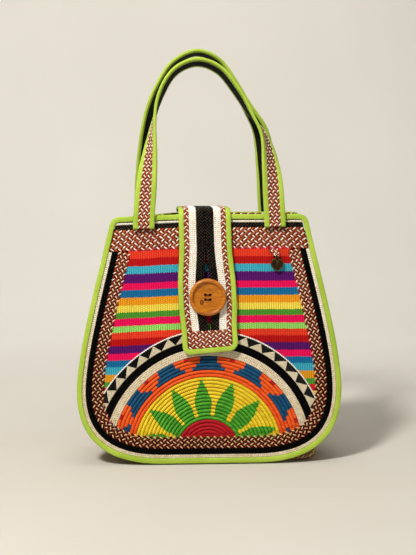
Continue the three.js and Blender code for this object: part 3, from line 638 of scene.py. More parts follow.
def stripedFinish():
    made, tree, shader, place = newFinish("stripedCloth", **{"Specular IOR Level": 0.15})
    split = node(tree, "SeparateXYZ", Vector=place.outputs["UV"])
    x, h = split.outputs[0], split.outputs[1]
    rib = sums(tree, "DIVIDE", x, clothStripes["ribPitch"])
    which = sums(tree, "FLOOR", rib)
    odd = node(tree, "TexWhiteNoise", {"noise_dimensions": "1D"}, W=which).outputs["Value"]
    within = sums(tree, "PINGPONG", rib, 0.5)
    drift = plainNoise(tree, stretched(tree, place.outputs["UV"], 0.02, 0.012, 1), 1.0, 2.0)
    ragged = times(tree, sums(tree, "SUBTRACT", odd, 0.5), clothStripes["ragged"])
    ragged = plus(tree, ragged, times(tree, within, clothStripes["scallop"]))
    ragged = plus(tree, ragged, times(tree, sums(tree, "SUBTRACT", drift, 0.5), clothStripes["drift"]))
    level = sums(tree, "DIVIDE", plus(tree, h, ragged), clothStripes["topHeight"])
    ramp = node(tree, "ValToRGB", Fac=level)
    ramp.color_ramp.interpolation = "CONSTANT"
    stops = ramp.color_ramp.elements
    for i, (text, low) in enumerate(reversed(clothStripes["stripes"])):
        stop = stops[0] if i == 0 else stops[1] if i == 1 else stops.new(min(low / clothStripes["topHeight"], 1.0))
        stop.position, stop.color = low / clothStripes["topHeight"], linear(text)
    stagger = times(tree, sums(tree, "MODULO", which, 2.0), math.pi)
    picks = sums(tree, "SINE", plus(tree, times(tree, h, 2 * math.pi / 2.1), stagger))
    fuzz = plainNoise(tree, stretched(tree, place.outputs["UV"], 1.0, 2.2, 1), 1.3, 4.0, 0.7)
    cloud = plainNoise(tree, place.outputs["Object"], 26.0, 3.0)
    # painted shade: the colour darkens to half in the grooves between the ribs; fuzz, picks and cloud add the weave's
    # own tone
    shade = times(tree, ranged(tree, within, 0.0, 0.3, 0.5, 1.0), ranged(tree, fuzz, 0.3, 0.7, 0.76, 1.12))
    shade = times(tree, shade, ranged(tree, picks, -1.0, 1.0, 0.84, 1.06))
    shade = times(tree, shade, ranged(tree, cloud, 0.3, 0.7, 0.92, 1.06))
    height = plus(tree, times(tree, picks, 0.6), fuzz)
    dress(tree, shader, shaded(tree, ramp.outputs[0], shade),
          ranged(tree, fuzz, 0.3, 0.7, 0.75, 0.9), 0.5, 0.0003, height)
    return made


stripedCloth = stripedFinish()


def clothWindow(side):
    c = clothStripes
    bm = bmesh.new()
    wide = halfAt(bands["window"] - 2.5, panel["widestHeight"] + 6)
    low, high = bands["window"] - 2.5, bands["windowTop"] + 2.5
    ribs = math.ceil(wide / c["ribPitch"])
    bmesh.ops.create_grid(bm, x_segments=8 * ribs, y_segments=84, size=0.5)
    bmesh.ops.scale(bm, vec=(2 * ribs * c["ribPitch"], high - low, 1), verts=bm.verts)
    bmesh.ops.translate(bm, vec=(0, (low + high) / 2, 0), verts=bm.verts)
    outside = [f for f in bm.faces if all(windowDepth(*v.co.xy) < -2.2 for v in f.verts)]
    bmesh.ops.delete(bm, geom=outside, context="FACES")
    drawFlat(bm)
    smoothAll(bm)
    for v in bm.verts:
        x, h, _ = v.co
        rib = abs(math.sin(math.pi * x / c["ribPitch"])) ** 0.7
        slack = 0.35 * noise.noise((x / 21, h / 34, 5.0))
        v.co = panelPoint(side, x, h, c["face"] + c["ribHeight"] * rib + slack)
    made = finishPiece(side + "StripedCloth", bm, [stripedCloth], "bag", "striped_cloth", [side + "_striped_cloth"])
    return made


for side in ("front", "back"):
    clothWindow(side)
print("striped cloth stretched in both windows")


# Half-sun: coils of wrapped fibre with the pattern worked in coil by coil, then three rings of braid
sun = {
    "centre": (-2.0, 13.0), "coilRadius": 102.0, "coils": 27, "low": 2.0, "coilHeight": 1.5, "face": 3.6,
    "creamTo": 110.6, "blackTo": 118.9, "zigzagTo": 129.4, "firstAngle": 2.0, "lastAngle": 178.0,
    "wrapPitch": 2.0, "wrapLean": 0.7, "braidTop": 3.0, "braidFoot": 2.8, "strandsTo": -0.8, "groundTo": -2.5,
    "redCoils": 9, "greenCoils": 10, "yellowCoils": 21, "orangeCoils": 23,
    "leafAngles": [-8.0, 18.2, 43.8, 70.0, 95.8, 120.5, 144.4, 169.0, 194.0],
    "leafHalf": [(38.0, 6.7), (45.0, 7.9), (50.4, 9.1), (55.8, 8.6), (62.3, 6.8), (68.8, 4.3), (74.2, 1.6),
                 (76.0, 0.7)],
    "leafTip": 75.9,
    "blockAngles": [4.6, 31.9, 60.8, 89.6, 117.2, 144.0, 171.5],
    "blockHalf": [11.1, 8.4, 5.9, 5.5],  # degrees either side, from the inner coil out
    "spotHalf": 1.6, "spotShift": 14.0,
}


def fibreFinish(name, dark, light, grooveShade=0.4):
    made, tree, shader, place = newFinish(name, **{"Specular IOR Level": 0.2})
    split = node(tree, "SeparateXYZ", Vector=place.outputs["UV"])
    coil = sums(tree, "FLOOR", times(tree, split.outputs[1], sun["coils"] / sun["coilRadius"]))
    shift = node(tree, "TexWhiteNoise", {"noise_dimensions": "1D"}, W=coil).outputs["Value"]
    row = sums(tree, "FRACT", times(tree, split.outputs[1], sun["coils"] / sun["coilRadius"]))
    slant = sums(tree, "MULTIPLY_ADD", row, sun["wrapLean"], shift)
    wraps = plus(tree, sums(tree, "DIVIDE", split.outputs[0], sun["wrapPitch"]), slant)
    wrap = sums(tree, "PINGPONG", wraps, 0.5)
    which = node(tree, "CombineXYZ", _0=sums(tree, "FLOOR", wraps), _1=coil).outputs[0]
    odd = node(tree, "TexWhiteNoise", {"noise_dimensions": "2D"}, Vector=which).outputs["Value"]
    fibres = plainNoise(tree, stretched(tree, place.outputs["UV"], 5.0, 1.2, 1), 1.0, 3.0, 0.7)
    share = plus(tree, times(tree, odd, 0.6), ranged(tree, fibres, 0.3, 0.7, 0.0, 0.3))
    share = plus(tree, share, times(tree, shift, 0.25))
    tone = blendColour(tree, share, linear(dark), linear(light))
    within = sums(tree, "PINGPONG", times(tree, split.outputs[1], sun["coils"] / sun["coilRadius"]), 0.5)
    # painted shade: darker in the gaps between wraps and, by grooveShade, in the grooves between coils
    gap = times(tree, ranged(tree, wrap, 0.0, 0.22, 0.55, 1.0), ranged(tree, within, 0.03, 0.2, grooveShade, 1.0))
    height = plus(tree, ranged(tree, wrap, 0.0, 0.35, 0.0, 1.0), times(tree, fibres, 0.5))
    dress(tree, shader, shaded(tree, tone, gap),
          ranged(tree, fibres, 0.3, 0.7, 0.55, 0.8), 0.55, 0.0004, height)
    return made


fibreFinishes = [
    fibreFinish("redFibre", "a00614", "c40c1c", 0.5), fibreFinish("greenFibre", "1f780e", "5cb82e", 0.22),
    fibreFinish("yellowFibre", "dcae08", "ffe030", 0.5), fibreFinish("orangeFibre", "e83c06", "ff6a1e", 0.45),
    fibreFinish("blueFibre", "043454", "0c5a86", 0.25), fibreFinish("crimsonFibre", "a80812", "d01818"),
]
red, green, yellow, orange, blue, crimson = range(6)


def coilColour(coil, radius, angle):
    if coil < sun["redCoils"]:
        return red
    if coil < sun["greenCoils"]:
        return green
    if coil < sun["yellowCoils"]:
        for i, leaf in enumerate(sun["leafAngles"]):
            if radius > sun["leafTip"]:
                break
            middle = (coil + 0.5) * sun["coilRadius"] / sun["coils"]  # the edge steps from coil to coil
            edge = 1.1 * noise.noise((coil * 3.7, i * 5.1, 0.5 if angle > leaf else 9.5))
            if abs(math.radians(angle - leaf)) * radius < through(sun["leafHalf"], middle) + edge:
                return green
        return yellow
    if coil < sun["orangeCoils"]:
        return orange
    row = min(coil - sun["orangeCoils"], 3)
    for i, middle in enumerate(sun["blockAngles"]):
        if abs(angle - middle) < sun["blockHalf"][row] + 0.5 * noise.noise((coil * 2.3, i * 4.1, 7.5)):
            return blue
        if row == 3 and abs(angle - middle - sun["spotShift"]) < sun["spotHalf"]:
            return crimson
    return orange


def sunLay(radius):  # s runs anticlockwise, t towards the centre; the edge tucks under the border
    def lay(s, t, out):
        turn, r = s / radius, radius - t
        x, h = sun["centre"][0] + r * math.cos(turn), sun["centre"][1] + r * math.sin(turn)
        tuck = smoothStep(windowDepth(x, h), -1.0, 5.0)
        return panelPoint("front", x, h, mix(0.9 + 0.25 * out, out, tuck))
    return lay


def inWindow(radius, margin):
    def keep(s, t):
        turn, r = s / radius, radius - t
        return windowDepth(sun["centre"][0] + r * math.cos(turn), sun["centre"][1] + r * math.sin(turn)) > margin
    return keep


def polarSheet(inner, outer, around, across):  # flat: x the angle's arc at the outer radius, y the radius
    bm = bmesh.new()
    bmesh.ops.create_grid(bm, x_segments=around, y_segments=across, size=0.5)
    first, last = math.radians(sun["firstAngle"]), math.radians(sun["lastAngle"])
    bmesh.ops.scale(bm, vec=(last - first, outer - inner, 1), verts=bm.verts)
    bmesh.ops.translate(bm, vec=((first + last) / 2, (inner + outer) / 2, 0), verts=bm.verts)
    def hidden(f):
        return all(windowDepth(sun["centre"][0] + v.co.y * math.cos(v.co.x),
                               sun["centre"][1] + v.co.y * math.sin(v.co.x)) < -1.5 for v in f.verts)
    bmesh.ops.delete(bm, geom=[f for f in bm.faces if hidden(f)], context="FACES")
    smoothAll(bm)
    return bm


def sunCoil():
    pitch = sun["coilRadius"] / sun["coils"]
    bm = polarSheet(pitch, sun["coilRadius"], 420, 5 * (sun["coils"] - 1))
    uv = bm.loops.layers.uv.verify()
    for face in bm.faces:
        middle = face.calc_center_median()
        face.material_index = coilColour(int(middle.y / pitch), middle.y, math.degrees(middle.x))
        for loop in face.loops:
            loop[uv].uv = (loop.vert.co.x * middle.y, loop.vert.co.y)
    lay = sunLay(1.0)
    for v in bm.verts:
        angle, radius = v.co.x, v.co.y
        crest = abs(math.sin(math.pi * radius / pitch)) ** 0.6
        wobble = 0.12 * noise.noise((angle * 30, radius / 3, 2.0))
        v.co = lay(angle, 1.0 - radius, sun["face"] - sun["coilHeight"] * (1 - crest) + wobble)
    bmesh.ops.reverse_faces(bm, faces=bm.faces)
    return finishPiece("sunCoil", bm, fibreFinishes, "bag", "coiled_fibre", ["sun_coil"])


def sunBraid(name, inner, outer, rows, weave, finishes, colours, slot, cad):
    radius, half = (inner + outer) / 2, (outer - inner) / 2 - 0.1
    lay = sunLay(radius)
    first, last = math.radians(sun["firstAngle"]) * radius, math.radians(sun["lastAngle"]) * radius
    shown = inWindow(radius, sun["groundTo"])
    bm = flatBand(last - first, -half, half, sun["low"], sun["braidTop"], 150, 3)
    bmesh.ops.translate(bm, vec=(first, 0, 0), verts=bm.verts)
    out = [v for v in bm.verts if not shown(v.co.x, v.co.y)]
    bmesh.ops.delete(bm, geom=out, context="VERTS")
    bend(bm, lay, closed=False)
    layPlait(bm, lay, (first, last), plaitRows(-half, half, rows), weave, sun["braidFoot"], colours,
             keep=inWindow(radius, sun["strandsTo"]))
    return finishPiece(name, bm, finishes, "bag", slot, [cad])


zigzag = {"pitch": 7.7, "shift": 0.1, "rows": 4, "face": 3.2, "ridge": 0.35, "drop": 0.7, "rim": 1.5, "rimFoot": 1.9}
rimWeave = {"step": 2.3, "angle": 18, "length": 2.7, "width": 1.5, "height": 1.5}


def zigzagFinish():
    made, tree, shader, place = newFinish("zigzagCane", **{"Specular IOR Level": 0.15})
    split = node(tree, "SeparateXYZ", Vector=place.outputs["UV"])
    u, v = split.outputs[0], split.outputs[1]
    weave = sums(tree, "SINE", times(tree, plus(tree, times(tree, u, 26.0), v), math.pi * 2))
    lean = plus(tree, u, times(tree, v, 0.16))
    tooth = times(tree, sums(tree, "PINGPONG", lean, 0.5), 2.0)
    jag = times(tree, weave, 0.035)
    pale = sums(tree, "GREATER_THAN", plus(tree, tooth, jag), v)
    patches = plainNoise(tree, place.outputs["Object"], 300.0, 3.0)
    dark = blendColour(tree, patches, linear("020101"), linear("0c0908"))
    light = blendColour(tree, patches, linear("c0ac84"), linear("f4e8cc"))
    dress(tree, shader, blendColour(tree, pale, dark, light),
          ranged(tree, patches, 0.3, 0.7, 0.45, 0.65), 0.6, 0.0004, plus(tree, weave, patches))
    return made


def zigzagRing():
    inner, outer = sun["blackTo"], sun["zigzagTo"] - zigzag["rim"]
    bm = polarSheet(inner, outer, 400, 4 * zigzag["rows"])
    drawFlat(bm, lambda place: (math.degrees(place.x) / zigzag["pitch"] + zigzag["shift"],
                                (place.y - inner) / (outer - inner)))
    lay = sunLay(1.0)
    for v in bm.verts:
        share = (v.co.y - inner) / (outer - inner)
        ridge = zigzag["ridge"] * abs(math.sin(math.pi * zigzag["rows"] * share))
        edge = zigzag["drop"] * smoothStep(share, 0.85, 1.0)
        v.co = lay(v.co.x, 1.0 - v.co.y, zigzag["face"] + ridge - edge)
    bmesh.ops.reverse_faces(bm, faces=bm.faces)
    radius = sun["zigzagTo"] - zigzag["rim"] / 2
    first, last = math.radians(sun["firstAngle"]) * radius, math.radians(sun["lastAngle"]) * radius
    layPlait(bm, sunLay(radius), (first, last), [0.0], rimWeave, zigzag["rimFoot"], [1],
             keep=inWindow(radius, sun["strandsTo"]))
    return finishPiece("sunZigzag", bm, [zigzagFinish(), creamCane], "bag", "zigzag_cane", ["sun_zigzag_braid"])


sunCoil()
sunBraid("sunCream", sun["coilRadius"], sun["creamTo"], 4, creamWeave, naturalFinishes, [1], "cream_cane",
         "sun_cream_braid")
sunBraid("sunBlack", sun["creamTo"], sun["blackTo"], 4, fineWeave, blackFinishes, blackColours, "black_cane",
         "sun_black_braid")
zigzagRing()
print("half-sun worked")


# Gusset between the panels: wide rows of tan plait, sagged square at the lower right
gusset = {
    "inset": 6.6, "top": 252.0, "flatLeft": 55.0, "flatRight": 104.0, "sagCorner": 13.0, "sagHeight": 79.0,
    "thickness": 1.8, "clearance": 0.4, "rows": 24, "swell": 0.3, "seamOut": 1.5, "groundTop": -0.75,
    "strandFoot": -1.1, "ends": 1.5,
}
gussetWeave = {"step": 5.0, "angle": 40, "length": 6.4, "width": 2.9, "height": 1.2}


def gussetHalf(sagged):
    side = insetLine(sideLine, gusset["inset"])
    upper = [p for p in side if p.y > gusset["sagHeight"]]
    join = upper[0]
    if sagged:
        flat, corner = gusset["flatRight"], gusset["flatRight"] + gusset["sagCorner"]
        rise = gusset["sagCorner"]
        low = [Vector((flat * i / 12, 0.0)) for i in range(12)]
        for i in range(13):
            u = i / 12
            low.append(Vector((flat + rise * (1 - (1 - u) ** 2), rise * u * u)))
        bow = interpolate_bezier((corner, rise), (corner, 0.45 * join.y), (join.x, 0.55 * join.y), join, 24)
        return low + [v.to_2d() for v in bow[1:]] + upper[1:]
    flat = gusset["flatLeft"]
    low = [Vector((flat * i / 8, 0.0)) for i in range(8)]
    bow = interpolate_bezier((flat, 0), (flat + 0.64 * (join.x - flat), 0), (join.x, 0.32 * join.y), join, 40)
    return low + [v.to_2d() for v in bow] + upper[1:]


gussetRight, gussetLeft = gussetHalf(True), gussetHalf(False)
gussetLine = track(mirroredLine(cutAt(gussetLeft, gusset["top"])[1:]) + cutAt(gussetRight, gusset["top"]))
seamLine = borderTrack(gusset["inset"] - gusset["seamOut"], gusset["top"])


def gussetLay(s, t, out):  # t from the back to the front, narrowing with the panels
    point, way = onTrack(gussetLine, s)
    sewn, sewnWay = onTrack(seamLine, s * seamLine["length"] / gussetLine["length"])
    half = panel["depthBase"] / 2
    swell = smoothStep(1 - abs(t) / half, 0.0, gusset["swell"])  # sewn to the panel, slack behind it
    point, way = sewn.lerp(point, swell), sewnWay.lerp(way, swell).normalized()
    reach = (halfDepth(point.y) - gusset["clearance"]) / half
    return Vector((point.x + way.y * out, -t * reach, max(point.y - way.x * out, 0.05))) * mm


braidPiece("gussetPlait", gussetLay, (0.0, gussetLine["length"]), (-panel["depthBase"] / 2, panel["depthBase"] / 2),
           (-gusset["thickness"], gusset["groundTop"]), (220, 8), gusset["rows"], gussetWeave,
           [(gusset["strandFoot"], False)], [1], [tanGround, tanCane], "tan_cane", ["gusset"], ends=gusset["ends"])

# Lining: a slack cloth bag inside, hemmed below the mouth
lining = {"skin": 2.4, "top": 254.0, "floor": 3.2, "thickness": 0.7, "wrinkle": 0.9, "corner": 9.0,
          "flatSize": (0.52, 0.36), "area": 0.165, "drawn": (420, 270)}


def reachAt(points, z):
    return cutAt(points, max(z, 0.01))[-1].x


def liningPiece():
    left = [Vector((max(p.x - lining["skin"], 0), p.y + lining["skin"])) for p in gussetLeft]
    right = [Vector((max(p.x - lining["skin"], 0), p.y + lining["skin"])) for p in gussetRight]
    bm = unitGrid(160, 56, *lining["drawn"])
    for v in bm.verts:
        turn, share = v.co.x * 2 * math.pi, v.co.y
        shrink = smoothStep(share, 0.0, 0.12) if share < 0.12 else 1.0
        z = lining["floor"] + (lining["top"] - lining["floor"]) * max(0.0, (share - 0.1) / 0.9)
        c, n = math.cos(turn), math.sin(turn)
        wide = reachAt(right if c > 0 else left, z + 0.5)
        deep = halfDepth(z) - 1.4
        wrinkle = noise.noise((3 * c, 3 * n, z / 24)) + 0.5 * noise.noise((8 * c, 8 * n, z / 14))
        wrinkle = lining["wrinkle"] * (abs(wrinkle) + 0.15) * (1 - smoothStep(share, 0.9, 1.0))
        x = math.copysign(abs(c) ** 0.5, c) * (wide - wrinkle) * shrink
        y = math.copysign(abs(n) ** 0.34, n) * (deep - wrinkle) * shrink
        v.co = Vector((x, y, z)) * mm
    bmesh.ops.remove_doubles(bm, verts=bm.verts, dist=2e-6)
    bmesh.ops.recalc_face_normals(bm, faces=bm.faces)
    bmesh.ops.reverse_faces(bm, faces=bm.faces)
    bmesh.ops.solidify(bm, geom=bm.faces[:], thickness=lining["thickness"] * mm)
    smoothAll(bm)
    made = finishPiece("liningBag", bm, [blackCloth], "bag", "black_cloth", ["lining"])


liningPiece()
print("gusset and lining in place")


# Flap: out of the back edge, over the mouth and down the front, split by the button's slit
flap = {
    "down": 148.0, "rise": 6.0, "bendReach": 10.0, "standOff": 5.2, "thickness": 2.4, "topShift": -6.0,
    "tipShift": 0.6, "tilt": 0.085, "tipCurl": 5.0, "black": 9.4, "cream": 8.0, "plait": 5.2, "binding": 5.4,
    "end": 18.0, "corner": 9.0,
    "slitHalf": 3.0, "slitEndHalf": 1.4, "slitStart": 32.0, "slitReach": 8.0, "buttonDrop": 89.0,
    "ground": 0.55, "endRows": 7, "gap": 0.15, "bindingDeep": 1.35, "stitchIn": 1.7, "stitchDeep": 1.05,
}


def flapSide():
    top = panel["lift"] + panel["height"] * leanCos
    rootY = halfDepth(top) + 2.6 - flap["thickness"] / 2
    root = Vector((rootY, top + 3.4 * leanSin + 0.3))
    middle = flap["standOff"] + flap["thickness"] / 2
    def front(down):
        return Vector((-halfDepth(top) - middle * leanCos - down * leanSin, top + middle * leanSin - down * leanCos))
    crest = top + flap["rise"]
    over, turn = front(-flap["rise"]), front(flap["bendReach"] - flap["rise"] / 2)
    rear, fore = Vector((rootY - flap["bendReach"], crest)), Vector((over.x + flap["bendReach"], crest))
    points = arc(root, Vector((rootY, crest)), rear, 24) + [rear.lerp(fore, i / 10) for i in range(1, 11)]
    points += arc(fore, Vector((over.x, crest)), turn, 24)[1:]
    points += [turn.lerp(front(flap["down"]), i / 40) for i in range(1, 41)]
    return track(points)


flapLine = flapSide()
flapFeet = [(flap["ground"] - 0.25, False), (0.25 - flap["ground"], True)]  # strands on its face and its back
flapLength = flapLine["length"]
flapTop = flapLength - flap["down"]  # where it passes the panel's top edge
flapEnd = flapLength - flap["binding"] - flap["end"]


def flapCentre(s):
    return mix(flap["topShift"], flap["tipShift"], (s / flapLength) ** 2)


def slitHalf(s):
    down = s - flapTop
    if down < flap["buttonDrop"]:
        return flap["slitHalf"] * smoothStep(down, flap["slitStart"], flap["buttonDrop"] - flap["slitReach"])
    share = smoothStep(down, flap["buttonDrop"] + flap["slitReach"], flap["down"] - flap["binding"] - flap["end"])
    return mix(flap["slitHalf"], flap["slitEndHalf"], share)


def onFlap(x, s, out):
    s -= flap["tilt"] * (x - flapCentre(s)) * smoothStep(s - flapTop, 90, 150)  # the tip hangs askew
    point, way = onTrack(flapLine, s)
    down = s - flapTop
    h = panel["height"] - max(down, 0)
    swell = swellAt(x, h) * panel["bulge"]
    curl = 0.5 * smoothStep(abs(x - flapCentre(s)), 12, 30)  # the edges lie a little closer to the panel
    out += swell * smoothStep(down, 0, 40) - curl + flap["tipCurl"] * smoothStep(down, 105, 150)
    return Vector((x, point.x + way.y * out, point.y - way.x * out)) * mm


def flapLay(s, t, out):  # s down the flap, t across it from the slit
    side = 1 if t > 0 else -1
    return onFlap(flapCentre(s) + t + side * slitHalf(s), s, out)


def flapStrip(name, side, start, width, rows, weave, finishes, colours, slot, cad):
    low, high = sorted((side * start, side * (start + width - 2 * flap["gap"])))
    bm = bend(flatBand(flapEnd + 0.2, low, high, -flap["ground"], flap["ground"], 110, 2), flapLay)
    lines = plaitRows(low, high, rows)
    for out, flip in flapFeet:
        layPlait(bm, flapLay, (0.6, flapEnd - 0.2), lines, weave, out, colours, flip)
    finishPiece(name, bm, finishes, "flap", slot, [cad])


def flapEdgeTrack(distance, radius, end):
    def sideOf(side):
        turn = end - radius
        edge = [Vector((flapCentre(s) + side * (distance + slitHalf(s)), s)) for s in
                [turn * i / 120 for i in range(121)]]
        x = edge[-1].x
        return edge[:-1] + arc(edge[-1], Vector((x, end)), Vector((x - side * radius, end)), 8)
    left, right = sideOf(-1), sideOf(1)
    across = [left[-1].lerp(right[-1], i / 12) for i in range(1, 12)]
    return track(left + across + right[::-1])


def flapPieces():
    b = flap
    for side, label in ((-1, "Left"), (1, "Right")):
        low = label.lower()
        start = b["gap"]
        for name, rows, weave, finishes, colours, slot in (
                ("black", 5, fineWeave, blackFinishes, glintColours, "black_cane"),
                ("cream", 4, creamWeave, creamFinishes, [1], "cream_cane"),
                ("plait", 2, redWeave, redFinishes, redColours, "red_plait")):
            cad = "flap_plaited_braid_" if name == "plait" else f"flap_{name}_braid_"
            flapStrip(f"flap{name.title()}{label}", side, start, b[name], rows, weave, finishes, colours, slot,
                      cad + low)
            start += b[name]
    middle = b["gap"] + b["black"] + b["cream"] + b["plait"] + b["binding"] / 2
    line = flapEdgeTrack(middle, b["corner"] - b["binding"] / 2, flapLength - b["binding"] / 2)
    def edgeLay(s, t, out):
        point, way = onTrack(line, s)
        return onFlap(point.x + way.y * t, point.y - way.x * t, out)
    tapePiece("flapBoundEdge", edgeLay, line["length"], b["binding"] / 2 + 0.1, (-b["bindingDeep"], b["bindingDeep"]),
              ((b["stitchIn"], b["stitchDeep"], True), (b["stitchIn"], -b["stitchDeep"], False)),
              "flap", "flap_edge_binding", seed=6.0)
    s0 = (flapEnd + flapLength - b["binding"]) / 2
    half = b["end"] / 2 - 0.2
    def endHalf(s):
        wide = b["gap"] + b["black"] + b["cream"] + b["plait"] - 2 * b["gap"] + slitHalf(s)
        corner = max(0.0, s - (flapLength - b["corner"]))
        return wide - 0.16 * corner ** 1.5 * 0.4
    def endLay(s, t, out):
        down = s0 - t
        return onFlap(flapCentre(down) + s * endHalf(down) / endHalf(s0), down, out)
    wide = endHalf(s0)
    braidPiece("flapEndPlait", endLay, (-wide, wide), (-half, half), (-b["ground"], b["ground"]), (24, 8), b["endRows"],
               redWeave, flapFeet, redColours, redFinishes, "red_plait", ["flap_end_braid"], "flap", ends=0.4)


flapPieces()
print("flap laid over the mouth")


# Handles: plait with a cloth back, the edges folded in tape, turning as they rise
handle = {
    "foot": 252.9, "frontTop": 434.0, "backTop": 447.0, "spread": 71.0, "leanIn": 4.5, "stand": 5.325,
    "frontLeft": [(-1, 0), (-0.995, 0.08), (-0.91, 0.43), (-0.76, 0.775), (-0.51, 0.945), (-0.17, 1)],
    "backLeft": [(-1, 0), (-0.995, 0.08), (-0.96, 0.43), (-0.93, 0.575), (-0.885, 0.68), (-0.78, 0.795), (-0.52, 0.94),
                 (-0.17, 1)],
    "right": [(0.15, 0.955), (0.43, 0.82), (0.63, 0.69), (0.845, 0.55), (0.95, 0.33), (0.975, 0.2), (0.993, 0.08),
              (1, 0)],
    "frontTurn": 104.0, "backTurn": 76.0, "turnEnd": 0.38, "turnLeft": 0.015, "turnRight": 0.03,
    "coreHalf": 10.35, "tapeMiddle": 8.75, "tapeHalf": 2.85, "tapeLow": -1.25, "tapeHigh": 2.2,
    "braidLow": 0.2, "braidHigh": 1.0, "backLow": -1.6, "backHigh": -0.25, "backHalf": 8.4, "archHalf": 6.4,
    "rows": 5, "rowHalf": 6.3, "stitchIn": 1.7, "stitchSunk": 0.35,
}


def smoothLine(points, steps):  # centripetal curve through the points
    made = []
    ends = [points[0] * 2 - points[1], *points, points[-1] * 2 - points[-2]]
    for p0, p1, p2, p3 in zip(ends, ends[1:], ends[2:], ends[3:]):
        d0, d1, d2 = [(b - a).length ** 0.5 for a, b in ((p0, p1), (p1, p2), (p2, p3))]
        m1 = ((p1 - p0) / d0 - (p2 - p0) / (d0 + d1) + (p2 - p1) / d1) * d1
        m2 = ((p2 - p1) / d1 - (p3 - p1) / (d1 + d2) + (p3 - p2) / d2) * d1
        for i in range(steps):
            u = i / steps
            made.append(p1 * (2 * u ** 3 - 3 * u ** 2 + 1) + m1 * (u ** 3 - 2 * u ** 2 + u)
                        + p2 * (3 * u ** 2 - 2 * u ** 3) + m2 * (u ** 3 - u ** 2))
    return made + [points[-1]]


def handleLay(side):
    b = handle
    flip = 1 if side == "front" else -1
    rise = b[side + "Top"] - panel["lift"] - b["foot"]
    points = [Vector((flip * spread * b["spread"],
                      (b["leanIn"] + b["stand"]) * smoothStep(share, 0.1, 1) - b["stand"] - 0.3,
                      b["foot"] + share * rise)) for spread, share in b[side + "Left"] + b["right"]]
    starts = [b["turnLeft"], b["turnRight"]]
    if flip < 0:
        points.reverse()
        starts.reverse()
    line = track(smoothLine(points, 24))
    def lay(s, t, out):
        point, along = onTrack(line, s)
        share = min(max(s / line["length"], 0), 1)
        up, down = smoothStep(share, starts[0], b["turnEnd"]), smoothStep(1 - share, starts[1], b["turnEnd"])
        turn = math.radians(b[side + "Turn"]) * min(up, down)
        front = Vector((0, -1, 0))
        front = (front - along * front.dot(along)).normalized()
        arch = front.cross(along).normalized()
        outward = front * math.cos(turn) + arch * math.sin(turn)
        at = point + outward.cross(along) * t + outward * out
        return panelPoint(side, at.x, at.z, -at.y)
    return lay, line["length"]


def handlePieces(side):
    b = handle
    lay, length = handleLay(side)
    bm = bend(flatBand(length, -b["coreHalf"], b["coreHalf"], b["braidLow"], b["braidHigh"], 200, 4), lay)
    layPlait(bm, lay, (0.5, length - 0.5), plaitRows(-b["rowHalf"], b["rowHalf"], b["rows"]), redWeave,
             b["braidHigh"] - 0.3, redColours)
    finishPiece(side + "HandlePlait", bm, redFinishes, "bag", "red_plait", [side + "_handle_braid"])
    def backLay(s, t, out):  # the cloth back narrows over the arch
        narrow = smoothStep(min(s, length - s) / length, 0.24, 0.38)
        return lay(s, t * mix(1.0, b["archHalf"] / b["backHalf"], narrow), out)
    bm = bend(flatBand(length, -b["backHalf"], b["backHalf"], b["backLow"], b["backHigh"], 200, 6), backLay)
    finishPiece(side + "HandleBack", bm, [blackCloth], "bag", "black_cloth", [side + "_handle_backing"])
    for edge, sign in (("left", 1), ("right", -1)):
        def tapeLay(s, t, out):
            return lay(s, sign * b["tapeMiddle"] + t, out)
        stitchAt, sunk = -sign * b["stitchIn"], b["stitchSunk"]
        tapePiece(f"{side}HandleTape{edge.title()}", tapeLay, length, b["tapeHalf"], (b["tapeLow"], b["tapeHigh"]),
                  ((stitchAt, b["tapeHigh"] - sunk, False), (stitchAt, b["tapeLow"] + sunk, True)),
                  "bag", f"{side}_handle_binding_{edge}", seed=sign * 3.0)


for side in ("front", "back"):
    handlePieces(side)
print("handles swept")


# Wooden button, its holes and thread
button = {
    "radius": 20.0, "back": 8.3, "thickness": 6.0, "rim": 4.3, "dish": 3.0, "holeSpacing": 5.0, "holeRadius": 1.6,
    "x": flapCentre(flapTop + flap["buttonDrop"]), "h": panel["height"] - flap["buttonDrop"],
}


def woodFinish():
    made, tree, shader, place = newFinish("buttonWood", **{"Specular IOR Level": 0.25, "Coat Weight": 0.2,
                                                           "Coat Roughness": 0.18})
    spot = (button["x"] * mm, -0.045, button["h"] * mm)
    centred = node(tree, "Mapping", Vector=place.outputs["Object"], Location=[-c for c in spot]).outputs[0]
    grain = node(tree, "TexNoise", Vector=stretched(tree, centred, 95, 120, 700), Scale=1.0, Detail=5.0,
                 Roughness=0.65, Distortion=0.6).outputs["Fac"]
    broad = plainNoise(tree, stretched(tree, centred, 40, 60, 160), 1.0, 3.0)
    share = plus(tree, times(tree, grain, 0.6), times(tree, broad, 0.4))
    ramp = node(tree, "ValToRGB", Fac=share)
    stops = ramp.color_ramp.elements
    for stop, (at, text) in zip((stops[0], stops.new(0.5), stops[1]),
                                ((0.3, "803602"), (0.5, "b66008"), (0.72, "dc8c24"))):
        stop.position, stop.color = at, linear(text)
    # a small dark knot beside the holes
    away = node(tree, "VectorMath", {"operation": "DISTANCE"}, _0=stretched(tree, centred, 1.0, 0.0, 0.75),
                _1=(-0.0064, 0.0, -0.0027)).outputs["Value"]
    ring = sums(tree, "ABSOLUTE", sums(tree, "SUBTRACT", away, 0.0014))
    knot = ranged(tree, ring, 0.0003, 0.0011, 0.95, 0.0)
    dress(tree, shader, blendColour(tree, knot, ramp.outputs[0], linear("4a1a04")),
          ranged(tree, grain, 0.3, 0.7, 0.42, 0.3), 0.12, 0.0004, grain)
    return made


threadFinish = caneFinish("brownThread", "3c1208", "6e2c16", 0.75, 0.5)


def onButton():  # from a button lying flat, face up, to its place on the panel
    place = panelPoint("front", button["x"], button["h"], 0.0)
    return Matrix(((mm, 0, 0, place.x), (0, leanSin * mm, -leanCos * mm, place.y),
                   (0, leanCos * mm, leanSin * mm, place.z), (0, 0, 0, 1)))


